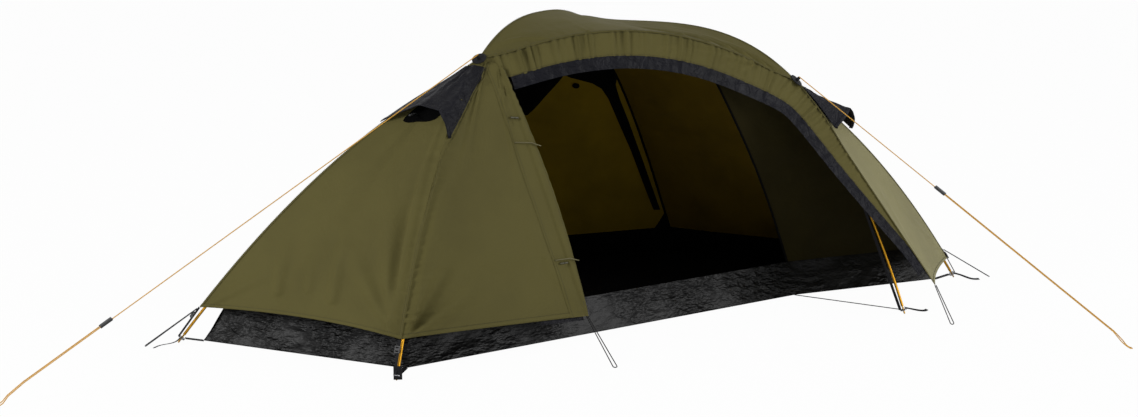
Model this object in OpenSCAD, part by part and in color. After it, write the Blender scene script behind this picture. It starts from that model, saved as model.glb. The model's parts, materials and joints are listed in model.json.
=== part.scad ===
// One-person tent: three bent poles carry a flysheet over an inner tent with a bathtub floor.
// Millimetres. +Z is up, +X runs from the head end to the foot end, -Y is the door side.
// The origin lies on the ground, under the middle of the long front pole.

/* [Ground plan] */
// Distance between the two feet of the long front pole
long_span = 2600; // [2300:50:2900]
// How far the head pole's front foot stands in from the head end
head_front_in = 540; // [480:10:600]
// How far the head pole's front foot stands forward
head_front_out = 560; // [500:10:620]
// How far the foot pole's front foot stands in from the foot end
foot_front_in = 390; // [340:10:440]
// How far the foot pole's front foot stands forward
foot_front_out = 370; // [330:10:410]
// How far the rear feet stand behind the long pole
rear_out = 710; // [640:10:780]
// How far the head pole's rear foot stands past the middle
head_rear_x = 540; // [460:10:620]
// How far the foot pole's rear foot stands past the middle
foot_rear_x = 560; // [480:10:640]

/* [Poles] */
// Outer diameter of a pole
pole_d = 8.5; // [7:0.5:11]
// Height of the long front pole at its middle
front_h = 890; // [820:2:960]
// How far the front pole leans forward for each unit of height
front_lean = 0.21; // [0.12:0.01:0.3]
// Fullness of the front pole's bow, where 2 is a parabola
front_full = 2; // [1.9:0.05:2.4]
// How far the head pole leans towards the rear head corner for each unit of height
head_lean = 0.04; // [0.02:0.005:0.08]
// Fullness of the head pole's bow
head_full = 2.5; // [2.3:0.05:2.8]
// Number of tube sections in each pole
pole_sections = 6; // [5:1:8]
// How much wider than the pole a ferrule is
ferrule_more = 3; // [2.5:0.25:4.5]
// Length of a ferrule
ferrule_len = 36; // [28:2:44]
// Length of the metal tip below a pole
tip_len = 26; // [20:1:34]
// Diameter of the metal tip
tip_d = 5; // [4:0.5:7]

/* [Groundsheet] */
// Thickness of the floor sheet
floor_t = 3; // [2:0.5:5]
// How far the floor's two ends stand in from the pole feet
floor_end_in = 75; // [70:5:120]
// How far the floor's front corner stands behind the head pole's foot
floor_front_in = 105; // [95:5:150]
// How far the floor stands in front of the rear feet
floor_rear_in = 50; // [40:5:80]
// Depth of the small porch between the floor and the foot pole
porch_out = 320; // [280:10:350]
// Height of the bathtub wall
wall_h = 100; // [70:5:130]
// Thickness of the bathtub wall
wall_t = 3; // [2:0.5:5]
// How far the wall's top edge leans in
wall_lean = 45; // [30:5:55]

/* [Flysheet] */
// Thickness of the flysheet solid
fly_t = 2; // [1.5:0.5:3]
// Distance from a pole's axis to the fly's inner face
fly_off = 16; // [13:0.5:22]
// Height of the hem above the ground at the corners
hem_z = 110; // [90:5:130]
// Extra height of the hem midway between two corners
hem_rise = 12; // [0:3:30]
// How deep the panels hang in between the poles
panel_sag = 25; // [10:5:35]
// Depth of the brow band below the front pole
brow_depth = 75; // [50:5:95]
// Depth of the dark edging under the brow band
edging_depth = 38; // [30:2:60]

/* [Inner tent] */
// Thickness of the inner tent's fabric solid
inner_t = 2; // [1.5:0.5:3]
// Distance from the fly to the inner tent
inner_gap = 45; // [30:5:60]

/* [Guy lines] */
// Diameter of a guy line
guy_d = 3; // [2.5:0.5:4]
// Length of a line tensioner
tensioner_len = 38; // [30:2:50]
// Width of a line tensioner
tensioner_w = 18; // [16:1:24]
// Thickness of a line tensioner
tensioner_t = 8; // [7:0.5:10]

/* [Small parts] */
// Outer diameter of the eyelet ring at a pole tip
ring_d = 20; // [16:1:26]
// Thickness of the eyelet ring
ring_t = 3; // [2:0.5:4]
// Width of the webbing
web_w = 15; // [10:1:20]
// Thickness of the webbing
web_t = 2; // [1.5:0.5:3]
// Gap between pieces that touch lightly
seat_gap = 0.3; // [0.2:0.1:0.5]

/* [Hidden] */

foot_a = [-long_span / 2, 0];
foot_d = [long_span / 2, 0];
foot_b = [-long_span / 2 + head_front_in, -head_front_out];
foot_c = [long_span / 2 - foot_front_in, -foot_front_out];
foot_q = [head_rear_x, rear_out];
foot_r = [-foot_rear_x, rear_out];
// Vertical step between two poles where they cross
cross_step = (pole_d + seat_gap) * 1.7;
pole_steps = 6;

// ---- Small mathematics ----
function mix(a, b, t) = a + (b - a) * t;
function unit(v) = v / norm(v);
function turn(a, b) = a.x * b.y - a.y * b.x;
// Height of a bow from 0 at its feet to 1 in the middle, at t from 0 to 1
function rise(t, full) = 1 - pow(abs(2 * t - 1), full);
// Value of t for a place k along a bow, closer together near the feet
function even(k) = (1 - cos(180 * k)) / 2;
// Share of the span at which a bow of height h reaches height z
function reach(z, h, full) = (1 - pow(1 - z / h, 1 / full)) / 2;

// ---- The three bows ----
function front_at(t) = let (z = front_h * rise(t, front_full))
    [mix(foot_a.x, foot_d.x, t), -front_lean * z, z];
// Place on the front bow where it crosses the line from p to q in plan
function crossing(p, q, low, high, n = 30) =
    let (mid = (low + high) / 2, m = front_at(mid), l = front_at(low))
    n == 0 ? mid
    : turn(q - p, [m.x, m.y] - p) * turn(q - p, [l.x, l.y] - p) > 0
        ? crossing(p, q, mid, high, n - 1)
        : crossing(p, q, low, mid, n - 1);
// Share of the way from p to q that lies nearest to c
function share(c, p, q) = ([c.x, c.y] - p) * (q - p) / ((q - p) * (q - p));

// Sideways lean of the head bow at height z
function head_shift(z) = head_lean * z * unit([foot_b.y - foot_q.y, foot_q.x - foot_b.x]);
function settle_head(z, n = 8) =
    let (o = head_shift(z), t = crossing(foot_b + o, foot_q + o, 0.05, 0.6))
    n == 0 ? t : settle_head(front_at(t).z + cross_step, n - 1);

t_head = settle_head(front_h);
t_foot = crossing(foot_c, foot_r, 0.95, 0.5);
s_front = share(front_at(t_head), foot_b, foot_q);
r_front = share(front_at(t_foot), foot_c, foot_r);
head_h = (front_at(t_head).z + cross_step) / rise(s_front, head_full);
// Where the head and foot bows cross behind the middle
function settle_rear(z, n = 8) =
    let (
        b = foot_b + head_shift(z),
        s = turn(foot_c - b, foot_r - foot_c) / turn(foot_q - foot_b, foot_r - foot_c)
    )
    n == 0 ? s : settle_rear(head_h * rise(s, head_full), n - 1);
s_rear = settle_rear(head_h);
r_rear = share(mix(foot_b, foot_q, s_rear) + head_shift(head_h * rise(s_rear, head_full)),
    foot_c, foot_r);
z_rear = head_h * rise(s_rear, head_full) - cross_step;
z_side = front_at(t_foot).z + cross_step;
// Fullness that lets the foot bow pass both crossings
function fit_full(low, high, n = 30) = let (mid = (low + high) / 2)
    n == 0 ? mid
    : rise(r_front, mid) / rise(r_rear, mid) < z_side / z_rear
        ? fit_full(mid, high, n - 1)
        : fit_full(low, mid, n - 1);
foot_full = fit_full(1.3, 9);
foot_h = z_rear / rise(r_rear, foot_full);

function head_at(s) =
    let (z = head_h * rise(s, head_full), p = mix(foot_b, foot_q, s) + head_shift(z))
    [p.x, p.y, z];
function foot_at(r) = let (p = mix(foot_c, foot_r, r)) [p.x, p.y, foot_h * rise(r, foot_full)];

// Points of each bow between two heights above the ground, from foot to foot
tip_z = tip_len;
function bow(which, t) = which == 0 ? front_at(t) : which == 1 ? head_at(t) : foot_at(t);
function bow_h(which) = [front_h, head_h, foot_h][which];
function bow_full(which) = [front_full, head_full, foot_full][which];
function bow_start(which) = reach(tip_z, bow_h(which), bow_full(which));
function bow_place(which, k) = let (a = acos(1 - 2 * bow_start(which)) / 180)
    even(mix(a, 1 - a, k));
function bow_dir(which, k) = unit(
    bow(which, bow_place(which, min(1, k + 0.002))) - bow(which, bow_place(which, max(0, k - 0.002))));

// ---- Sweeps and sheets ----
// A side direction square to d
function side_of(d) = unit(cross(d, abs(d.z) > 0.9 ? [1, 0, 0] : [0, 0, 1]));
// Rings of a round tube along points
function tube_rings(path, r, sides) = [
    for (i = [0 : len(path) - 1])
        let (
            d = unit(path[min(i + 1, len(path) - 1)] - path[max(i - 1, 0)]),
            u = side_of(d),
            v = cross(d, u)
        )
        for (j = [0 : sides - 1])
            path[i] + r * (cos(360 * j / sides) * u + sin(360 * j / sides) * v)
];
module tube(path, r, sides = 8) {
    n = len(path);
    polyhedron(tube_rings(path, r, sides), concat(
        [[for (j = [0 : sides - 1]) j]],
        [[for (j = [sides - 1 : -1 : 0]) (n - 1) * sides + j]],
        [for (i = [0 : n - 2]) for (j = [0 : sides - 1])
            let (k = (j + 1) % sides)
            [i * sides + j, (i + 1) * sides + j, (i + 1) * sides + k, i * sides + k]]));
}

// Outward normal at one point of a grid of rows
function sheet_normal(g, i, j) =
    let (
        a = g[min(i + 1, len(g) - 1)][j] - g[max(i - 1, 0)][j],
        b = g[i][min(j + 1, len(g[0]) - 1)] - g[i][max(j - 1, 0)]
    )
    unit(cross(b, a));
// A closed sheet: the grid is its inner face, and its outer face lies t along the normals
module sheet(g, t) {
    rows = len(g);
    cols = len(g[0]);
    inner = [for (i = [0 : rows - 1]) for (j = [0 : cols - 1]) g[i][j]];
    outer = [for (i = [0 : rows - 1]) for (j = [0 : cols - 1]) g[i][j] + t * sheet_normal(g, i, j)];
    n = rows * cols;
    rim = concat(
        [for (j = [0 : cols - 1]) j],
        [for (i = [1 : rows - 1]) i * cols + cols - 1],
        [for (j = [cols - 2 : -1 : 0]) (rows - 1) * cols + j],
        [for (i = [rows - 2 : -1 : 1]) i * cols]);
    polyhedron(concat(inner, outer), concat(
        [for (i = [0 : rows - 2]) for (j = [0 : cols - 2]) for (f = [0, 1])
            let (q = i * cols + j)
            f == 0 ? [q, q + 1, q + cols + 1] : [q, q + cols + 1, q + cols]],
        [for (i = [0 : rows - 2]) for (j = [0 : cols - 2]) for (f = [0, 1])
            let (q = n + i * cols + j)
            f == 0 ? [q, q + cols + 1, q + 1] : [q, q + cols, q + cols + 1]],
        [for (e = [0 : len(rim) - 1]) for (f = [0, 1])
            let (a = rim[e], b = rim[(e + 1) % len(rim)])
            f == 0 ? [a, a + n, b + n] : [a, b + n, b]]));
}
// Children stand on p and point along +Z towards q
module along(p, q) {
    d = q - p;
    translate(p)
        rotate([0, acos(d.z / norm(d)), atan2(d.y, d.x)])
            children();
}

// ---- Poles ----
module pole_tube(which) {
    for (i = [0 : pole_sections - 1]) {
        path = [for (k = [0 : pole_steps])
            bow(which, bow_place(which, (i + mix(0.0015, 0.9985, k / pole_steps)) / pole_sections))];
        tube(path, pole_d / 2);
    }
}
// The pole bends a little inside its straight ferrule
ferrule_d = pole_d + ferrule_more;
ferrule_clear = 1.1;
module pole_ferrules(which) {
    for (i = [1 : pole_sections - 1]) {
        k = i / pole_sections;
        c = bow(which, bow_place(which, k));
        d = bow_dir(which, k);
        along(c - d * ferrule_len / 2, c + d * ferrule_len / 2)
            difference() {
                cylinder(d = ferrule_d, h = ferrule_len, $fn = 24);
                translate([0, 0, -1])
                    cylinder(d = pole_d + 2 * ferrule_clear, h = ferrule_len + 2, $fn = 24);
            }
    }
}
module front_pole() {
    color("goldenrod") pole_tube(0);
}
module head_pole() {
    color("goldenrod") pole_tube(1);
}
module foot_pole() {
    color("goldenrod") pole_tube(2);
}
module front_pole_ferrules() {
    color("silver") pole_ferrules(0);
}
module head_pole_ferrules() {
    color("silver") pole_ferrules(1);
}
module foot_pole_ferrules() {
    color("silver") pole_ferrules(2);
}
module pole_tips() {
    color("silver")
        for (which = [0 : 2]) for (k = [0, 1]) {
            top = bow(which, bow_place(which, k));
            d = bow_dir(which, k) * (k == 0 ? 1 : -1);
            run = (top.z - 1.5) / d.z - tip_d / 2;
            along(top - d * (run + seat_gap), top) {
                sphere(d = tip_d, $fn = 16);
                cylinder(d = tip_d, h = run, $fn = 16);
            }
        }
}
module eyelet_rings() {
    color("silver")
        for (which = [0 : 2]) for (k = [0, 1]) {
            top = bow(which, bow_place(which, k));
            d = bow_dir(which, k) * (k == 0 ? 1 : -1);
            along(top - d * (tip_len * 0.55), top)
                difference() {
                    cylinder(d = ring_d, h = ring_t, $fn = 24);
                    translate([0, 0, -1])
                        cylinder(d = tip_d + 2 * seat_gap, h = ring_t + 2, $fn = 24);
                }
        }
}

// ---- Groundsheet ----
floor_corners = [
    [foot_a.x + floor_end_in, 0],
    [foot_b.x + floor_front_in * 0.45, foot_b.y + floor_front_in],
    [foot_c.x - porch_out * 0.72, foot_c.y + porch_out],
    [foot_d.x - floor_end_in, 0],
    [foot_q.x - floor_rear_in * 0.6, foot_q.y - floor_rear_in],
    [foot_r.x + floor_rear_in * 0.6, foot_r.y - floor_rear_in]
];
module floor_sheet() {
    color("#202226")
        linear_extrude(floor_t) polygon(floor_corners);
}
// Each corner moved in so that both its edges move in by t
function inset(points, t) = [
    for (i = [0 : len(points) - 1])
        let (
            n = len(points),
            u = unit(points[i] - points[(i + n - 1) % n]),
            v = unit(points[(i + 1) % n] - points[i]),
            m = unit([-u.y - v.y, u.x + v.x])
        )
        points[i] + m * t / (m * [-u.y, u.x])
];
wall_top = floor_t + wall_h;
module floor_wall() {
    n = len(floor_corners);
    rings = [
        [for (p = floor_corners) [p.x, p.y, floor_t]],
        [for (p = inset(floor_corners, wall_lean)) [p.x, p.y, wall_top]],
        [for (p = inset(floor_corners, wall_lean + wall_t)) [p.x, p.y, wall_top]],
        [for (p = inset(floor_corners, wall_t)) [p.x, p.y, floor_t]]
    ];
    color("#26282c")
        polyhedron([for (ring = rings) for (p = ring) p],
            [for (i = [0 : 3]) for (j = [0 : n - 1]) for (f = [0, 1])
                let (i2 = (i + 1) % 4, j2 = (j + 1) % n)
                f == 0 ? [i * n + j, i2 * n + j, i2 * n + j2]
                : [i * n + j, i2 * n + j2, i * n + j2]]);
}

// ---- Webbing ----
// A flat bar from p to q, w wide across and t thick towards face
module flat_bar(p, q, face, w, t) {
    d = unit(q - p);
    across = unit(cross(d, face)) * w / 2;
    up = unit(cross(across, d)) * t / 2;
    polyhedron(
        [for (c = [p, q]) for (m = [[-1, -1], [1, -1], [1, 1], [-1, 1]])
            c + m[0] * across + m[1] * up],
        [[3, 2, 1, 0], [4, 5, 6, 7], [1, 5, 4, 0], [2, 6, 5, 1], [3, 7, 6, 2], [0, 4, 7, 3]]);
}
// Middle of the eyelet ring at either end of a bow, and the way up along the tip there
function tip_dir(which, k) = bow_dir(which, k) * (k == 0 ? 1 : -1);
function ring_at(which, k) = bow(which, bow_place(which, k))
    - tip_dir(which, k) * (tip_len * 0.55 - ring_t / 2);
// Floor corner that each pole end is tied to
function tied_corner(which, k) = floor_corners[[[0, 3], [1, 4], [2, 5]][which][k]];
module floor_straps() {
    color("#1c1c1e")
        for (which = [0 : 2]) for (k = [0, 1]) {
            ring = ring_at(which, k);
            corner = tied_corner(which, k);
            flat = unit([corner.x - ring.x, corner.y - ring.y, 0]);
            start = [corner.x, corner.y, web_t / 2] - flat * seat_gap;
            d = start - ring;
            flat_bar(start, ring + unit(d) * (ring_d / 2 + 0.5), [0, 0, 1],
                which == 2 && k == 0 ? guy_d : web_w, web_t);
        }
}

// ---- Flysheet ----
// The fly's seam line lies outside a bow by fly_off, away from the tent's middle
core = [0, 0.14 * rear_out, 0];
function away(p) = unit([p.x - core.x, p.y - core.y, p.z]);
function seam(which, t, extra = 0) = let (p = bow(which, t)) p + (fly_off + extra) * away(p);
function at_height(which, z, near) = let (s = reach(z, bow_h(which), bow_full(which)))
    near ? s : 1 - s;
function hem_at(which, near) = at_height(which, hem_z, near);
// Places from a to b on a bow, closer together near its feet
function places(a, b, n) = let (ka = acos(1 - 2 * a) / 180, kb = acos(1 - 2 * b) / 180)
    [for (i = [0 : n]) even(mix(ka, kb, i / n))];
function seam_line(which, a, b, n, extra = 0) = [for (t = places(a, b, n)) seam(which, t, extra)];

edge_in = 0.5;
rows = 14;
cols = 8;
// Rows between two edge lines, hanging in by up to sag, and lifted along the hem
function span_rows(low, high, n, sag, lift = 0) = [
    for (i = [0 : len(low) - 1])
        let (d = high[i] - low[i], w = norm(d), f = 1 - i / (len(low) - 1), e = edge_in / w)
        [for (j = [0 : n])
            let (u = mix(e, 1 - e, j / n), p = low[i] + d * u, hang = 4 * u * (1 - u))
            p - unit([p.x - core.x, p.y - core.y, p.z * 0.3]) * sag * hang * min(1, w / 900)
                + [0, 0, lift * hang * pow(f, 3)]]
];
// How far up towards a crossing the panels reach
top_cut = 0.965;
function short_of(a, b) = mix(a, b, top_cut);

// The foot end's front corner flares out from the pole to its own anchor
fly_corner = [foot_c.x + 80, foot_c.y - 40, hem_z - 10];
function foot_edge(n, extra = 0) =
    let (
        base = seam(2, hem_at(2, true), extra),
        line = seam_line(2, hem_at(2, true), short_of(0, r_front), n, extra)
    )
    [for (p = line) p + (fly_corner - base) * pow(max(0, 1 - (p.z - base.z) / 420), 1.4)];

fly_colour = "#5b5a35";
function head_panel_rows() = span_rows(
    seam_line(0, hem_at(0, true), short_of(0, t_head), rows),
    seam_line(1, hem_at(1, true), short_of(0, s_front), rows),
    cols, panel_sag, hem_rise);
function foot_panel_rows() = span_rows(foot_edge(rows),
    seam_line(0, hem_at(0, false), short_of(1, t_foot), rows),
    cols, panel_sag, hem_rise);
module fly_head_panel() {
    color(fly_colour)
        sheet(head_panel_rows(), fly_t);
}
module fly_foot_panel() {
    color(fly_colour)
        sheet(foot_panel_rows(), fly_t);
}
module fly_rear_panel() {
    color(fly_colour)
        sheet(span_rows(
            seam_line(1, hem_at(1, false), short_of(1, s_rear), rows),
            seam_line(2, hem_at(2, false), short_of(1, r_rear), rows),
            cols, panel_sag, hem_rise), fly_t);
}
half_rows = rows / 2;
module fly_rear_head_panel() {
    high = concat(
        seam_line(0, hem_at(0, true), short_of(0, t_head), half_rows),
        [for (i = [1 : half_rows]) seam(1, mix(s_front, short_of(s_front, s_rear), i / half_rows))]);
    color(fly_colour)
        sheet(span_rows(
            seam_line(2, hem_at(2, false), short_of(1, r_rear), rows),
            high, cols, panel_sag, hem_rise), fly_t);
}
module fly_rear_foot_panel() {
    low = concat(
        seam_line(0, hem_at(0, false), short_of(1, t_foot), half_rows),
        [for (i = [1 : half_rows]) seam(2, mix(r_front, short_of(r_front, r_rear), i / half_rows))]);
    color(fly_colour)
        sheet(span_rows(low,
            seam_line(1, hem_at(1, false), short_of(1, s_rear), rows),
            cols, panel_sag, hem_rise), fly_t);
}
function ridge_line(inner, n) = concat(
    [for (i = [0 : n]) seam(1, mix(s_front, s_rear, mix(0.03, 0.98, i / n)), inner)],
    [for (i = [1 : n]) seam(2, mix(r_rear, r_front, mix(0.02, 0.97, i / n)), inner)]);
module fly_roof_panel() {
    color(fly_colour)
        sheet(span_rows(ridge_line(0, half_rows),
            [for (i = [0 : rows]) seam(0, mix(t_head, t_foot, mix(0.03, 0.97, i / rows)))],
            5, 0), fly_t);
}

// Door edge: from the hem corner up to the brow
door_corner = [-0.054 * long_span, -0.643 * head_front_out, hem_z * 0.73];
door_top = seam(0, mix(t_head, t_foot, 0.06)) - fly_off * [0, 0.6, 1.5];
function door_edge(n) = [for (i = [0 : n])
    mix(door_corner, door_top, i / n)];
function door_rows() = span_rows(
    seam_line(1, hem_at(1, true), short_of(0, s_front), rows),
    door_edge(rows), cols, panel_sag / 2, 0);
module fly_door_panel() {
    color(fly_colour)
        sheet(door_rows(), fly_t);
}

// The brow follows the front pole, then the foot pole's front leg down to the fly corner
opening_mid = [0.058 * long_span, -0.59 * head_front_out, 0.427 * front_h];
brow_steps = 12;
leg_steps = 12;
leg_line = foot_edge(leg_steps);
brow_line = concat(
    [for (i = [0 : brow_steps - 1])
        seam(0, mix(t_head, t_foot, mix(0.07, 0.9, i / (brow_steps - 1))))],
    [seam(2, r_front)],
    [for (i = [leg_steps - 1 : -1 : 0]) leg_line[i]]);
function brow_in(i) =
    let (
        last = len(brow_line) - 1,
        d = unit(brow_line[min(i + 1, last)] - brow_line[max(i - 1, 0)]),
        c = opening_mid - brow_line[i]
    )
    unit(c - d * (c * d));
// A strip of the brow between two distances from the brow line, short of the hem by some points
function brow_strip(near, far, taper, short) = [
    for (i = [0 : len(brow_line) - 1 - short])
        let (f = max(0, i - brow_steps) / leg_steps, s = 1 - taper * f)
        [for (j = [0 : 2]) brow_line[i] + brow_in(i) * s * mix(near, far, j / 2)]
];
module fly_brow_band() {
    color(fly_colour)
        sheet(brow_strip(edge_in + 0.5, brow_depth, 0.35, 0), fly_t);
}
module fly_brow_edging() {
    color("#23242c")
        sheet(brow_strip(brow_depth + seat_gap, brow_depth + edging_depth, 0.35, 2), fly_t);
}

porch_strap_z = 0.37 * front_h;
// Side of a hem strap that faces away from the tent
function strap_face(which, k) =
    let (
        top = seam(which, hem_at(which, k == 0)),
        out = unit([top.x - core.x, top.y - core.y, 0]),
        d = tip_dir(which, k)
    )
    unit(out - d * (out * d));
function strap_low(which, k) = ring_at(which, k)
    + strap_face(which, k) * (ring_d / 2 + web_t / 2 + seat_gap);
function strap_high(which, k) = seam(which, hem_at(which, k == 0))
    - tip_dir(which, k) * (web_t + seat_gap) + strap_face(which, k) * fly_t / 2;
// Webbing from each eyelet ring up to the fly's corner, under the hem
module hem_straps() {
    color("#1c1c1e")
        for (which = [0 : 2]) for (k = [0, 1])
            if (which != 2 || k != 0)
                flat_bar(strap_low(which, k), strap_high(which, k), strap_face(which, k),
                    web_w * 0.6, web_t);
    // The porch foot is tied up along the inside of its pole
    ring = ring_at(2, 0);
    up = bow(2, at_height(2, porch_strap_z, true));
    color("#1c1c1e")
        flat_bar(ring - [(ring_d + web_t) / 2 + seat_gap, 0, 0],
            up - [pole_d + web_t, 0, 0], [1, 0, 0], web_w, web_t);
}

// ---- Vents ----
hood_off = 5;
hood_bulge = 1.6 * panel_sag;
function head_hood_rows() = span_rows(
    seam_line(0, at_height(0, front_h * 0.7, true), mix(0, t_head, 0.96), 8, hood_off),
    seam_line(1, at_height(1, front_h * 0.64, true), mix(0, s_front, 0.96), 8, hood_off),
    6, -hood_bulge, 0.08 * front_h);
function foot_hood_rows() = span_rows(
    seam_line(2, at_height(2, front_h * 0.64, true), mix(0, r_front, 0.96), 8, hood_off),
    seam_line(0, at_height(0, front_h * 0.64, false), mix(1, t_foot, 0.96), 8, hood_off),
    6, -hood_bulge, 0.056 * front_h);
module head_vent_hood() {
    color("#23242c")
        sheet(head_hood_rows(), fly_t);
}
module foot_vent_hood() {
    color("#23242c")
        sheet(foot_hood_rows(), fly_t);
}
// A stiff strut holds each hood off the panel, and swings down on a pin at its foot
prop_d = 6;
pin_d = 3;
// Row and column of the grid point nearest to a point
function nearest(g, to) =
    let (
        d = [for (row = g) for (p = row) norm(p - to)],
        m = min(d),
        k = [for (i = [0 : len(d) - 1]) if (d[i] == m) i][0]
    )
    [floor(k / len(g[0])), k % len(g[0])];
function prop_pivot(hood, panel) =
    let (k = nearest(panel, hood[1][3]))
    panel[k[0]][k[1]] + sheet_normal(panel, k[0], k[1]) * (fly_t + prop_d / 2 + seat_gap);
module prop(hood, panel) {
    pivot = prop_pivot(hood, panel);
    head = hood[1][3] - sheet_normal(hood, 1, 3) * (prop_d / 2 + seat_gap);
    across = unit(hood[1][4] - hood[1][2]);
    color("#1c1c1e") {
        along(pivot, head)
            union() {
                sphere(d = prop_d, $fn = 16);
                cylinder(d = prop_d, h = norm(head - pivot), $fn = 16);
                translate([0, 0, norm(head - pivot)])
                    sphere(d = prop_d, $fn = 16);
            }
        along(pivot - across * prop_d, pivot + across * prop_d)
            cylinder(d = pin_d, h = 2 * prop_d, $fn = 16);
    }
}
module head_vent_prop() {
    prop(head_hood_rows(), head_panel_rows());
}
module foot_vent_prop() {
    prop(foot_hood_rows(), foot_panel_rows());
}

// ---- Inner tent ----
// The inner tent hangs inside the poles and stands on the bathtub wall
inner_off = inner_gap - fly_off;
inner_corners = [for (p = inset(floor_corners, wall_lean + wall_t / 2)) [p.x, p.y, wall_top + 3 * seat_gap]];
function inner_seam(which, t) = let (p = bow(which, t)) p - inner_off * away(p);
// A seam that starts on a wall corner and joins the bow's inside higher up
function inner_line(which, a, b, n, corner) =
    let (base = inner_seam(which, a))
    [for (t = places(a, b, n))
        let (p = inner_seam(which, t), f = max(0, 1 - (p.z - base.z) / (front_h / 2)))
        p + (corner - base) * pow(f, 1.5)];
function inner_start(which, near) = at_height(which, wall_top * 1.58, near);
inner_rows = 10;
inner_cols = 6;
inner_sag = 0.7 * panel_sag;
module inner_head_panel() {
    color("#6b6436")
        sheet(span_rows(
            inner_line(0, inner_start(0, true), short_of(0, t_head), inner_rows, inner_corners[0]),
            inner_line(1, inner_start(1, true), short_of(0, s_front), inner_rows, inner_corners[1]),
            inner_cols, inner_sag), inner_t);
}
module inner_rear_panel() {
    color("#6b6436")
        sheet(span_rows(
            inner_line(1, inner_start(1, false), short_of(1, s_rear), inner_rows, inner_corners[4]),
            inner_line(2, inner_start(2, false), short_of(1, r_rear), inner_rows, inner_corners[5]),
            inner_cols, inner_sag), inner_t);
}
inner_half = inner_rows / 2;
module inner_rear_head_panel() {
    high = concat(
        inner_line(0, inner_start(0, true), short_of(0, t_head), inner_half, inner_corners[0]),
        [for (i = [1 : inner_half])
            inner_seam(1, mix(s_front, short_of(s_front, s_rear), i / inner_half))]);
    color("#6b6436")
        sheet(span_rows(
            inner_line(2, inner_start(2, false), short_of(1, r_rear), inner_rows, inner_corners[5]),
            high, inner_cols, inner_sag), inner_t);
}
module inner_rear_foot_panel() {
    low = concat(
        inner_line(0, inner_start(0, false), short_of(1, t_foot), inner_half, inner_corners[3]),
        [for (i = [1 : inner_half])
            inner_seam(2, mix(r_front, short_of(r_front, r_rear), i / inner_half))]);
    color("#6b6436")
        sheet(span_rows(low,
            inner_line(1, inner_start(1, false), short_of(1, s_rear), inner_rows, inner_corners[4]),
            inner_cols, inner_sag), inner_t);
}
// The part of the inner tent's front that stays closed, from its door seam to the foot end
inner_door_t = mix(t_head, t_foot, 0.7);
module inner_foot_panel() {
    top = inner_seam(0, inner_door_t);
    low = [for (i = [0 : inner_rows])
        let (f = i / inner_rows)
        mix(inner_corners[2], top, f) + inner_gap * [0.66, -0.44, 0] * sin(180 * f)];
    color("#33321f")
        sheet(span_rows(low,
            inner_line(0, inner_start(0, false), short_of(1, inner_door_t), inner_rows, inner_corners[3]),
            inner_cols, inner_sag / 2), inner_t);
}
module inner_roof_panel() {
    color("#26262a")
        sheet(span_rows(ridge_line(-inner_gap, inner_half),
            [for (i = [0 : inner_rows]) inner_seam(0, mix(t_head, t_foot, mix(0.03, 0.97, i / inner_rows)))],
            4, 0), inner_t);
}

// ---- Door hardware ----
zip_w = 6;
zip_t = 3;
edge_dir = unit(door_top - door_corner);
door_face = unit(cross([1, 0.2, 0], edge_dir));
edge_out = unit(cross(edge_dir, door_face));
// The zip runs straight up beside the door's free edge
function on_zip(run, lift) = door_corner + edge_dir * run
    + edge_out * (zip_w / 2 + seat_gap) + door_face * (fly_t / 2 + lift);
zip_len = norm(door_top - door_corner) * 0.95;
module door_zip() {
    color("#1c1c1e")
        flat_bar(on_zip(0, 0), on_zip(zip_len, 0), door_face, zip_w, zip_t);
}
slider_t = 4;
slider_len = 16;
pull_len = 26;
slider_low = 30;
module zip_slider() {
    lift = zip_t / 2 + seat_gap + slider_t / 2;
    color("silver")
        union() {
            flat_bar(on_zip(slider_low, lift), on_zip(slider_low + slider_len, lift),
                door_face, zip_w + 3, slider_t);
            flat_bar(on_zip(slider_low - pull_len, lift), on_zip(slider_low + 4, lift),
                door_face, zip_w - 1, slider_t / 2);
        }
}
// Toggles that hold the door open when it is rolled back
toggle_d = 6;
toggle_len = 26;
toggle_in = 22;
toggle_lift = 2;
toggle_knob = 11;
// Direction from the panel out past its free edge, at one row
function toggle_axis(g, row) = unit(g[row][cols] - g[row][cols - 1]);
function toggle_seat(g, row) = g[row][cols] - toggle_axis(g, row) * toggle_in
    + sheet_normal(g, row, cols) * (fly_t + toggle_d / 2 + toggle_lift);
module toggle(row) {
    g = door_rows();
    c = toggle_seat(g, row);
    a = toggle_axis(g, row);
    color("#1c1c1e")
        along(c - a * toggle_len / 2, c + a * toggle_len / 2)
            for (part = [[0, toggle_d, toggle_knob], [0, toggle_d - 2, toggle_len],
                [toggle_len - toggle_knob, toggle_d, toggle_knob]])
                translate([0, 0, part[0]])
                    cylinder(d = part[1], h = part[2], $fn = 24);
}
module upper_toggle() {
    toggle(rows - 3);
}
module lower_toggle() {
    toggle(3);
}

// ---- Ladder-lock buckles ----
// A buckle on the outer face of each hem strap, with two slots for the webbing
buckle_w = 17;
buckle_len = 20;
buckle_t = 4;
slot_w = 11;
slot_len = 4;
module hem_buckles() {
    color("#1c1c1e")
        for (which = [0 : 2]) for (k = [0, 1])
            if (which != 2 || k != 0) {
                low = strap_low(which, k);
                high = strap_high(which, k);
                face = strap_face(which, k);
                c = mix(low, high, 0.72) + face * (web_t + buckle_t) / 2 + face * seat_gap;
                d = unit(high - low);
                difference() {
                    flat_bar(c - d * buckle_len / 2, c + d * buckle_len / 2, face, buckle_w, buckle_t);
                    for (side = [-1, 1])
                        flat_bar(c + d * (side * buckle_len / 4 - slot_len / 2),
                            c + d * (side * buckle_len / 4 + slot_len / 2), face, slot_w, buckle_t + 2);
                }
            }
}

// ---- Peg loops of elastic cord ----
loop_d = 3;
loop_w = 12;
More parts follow.
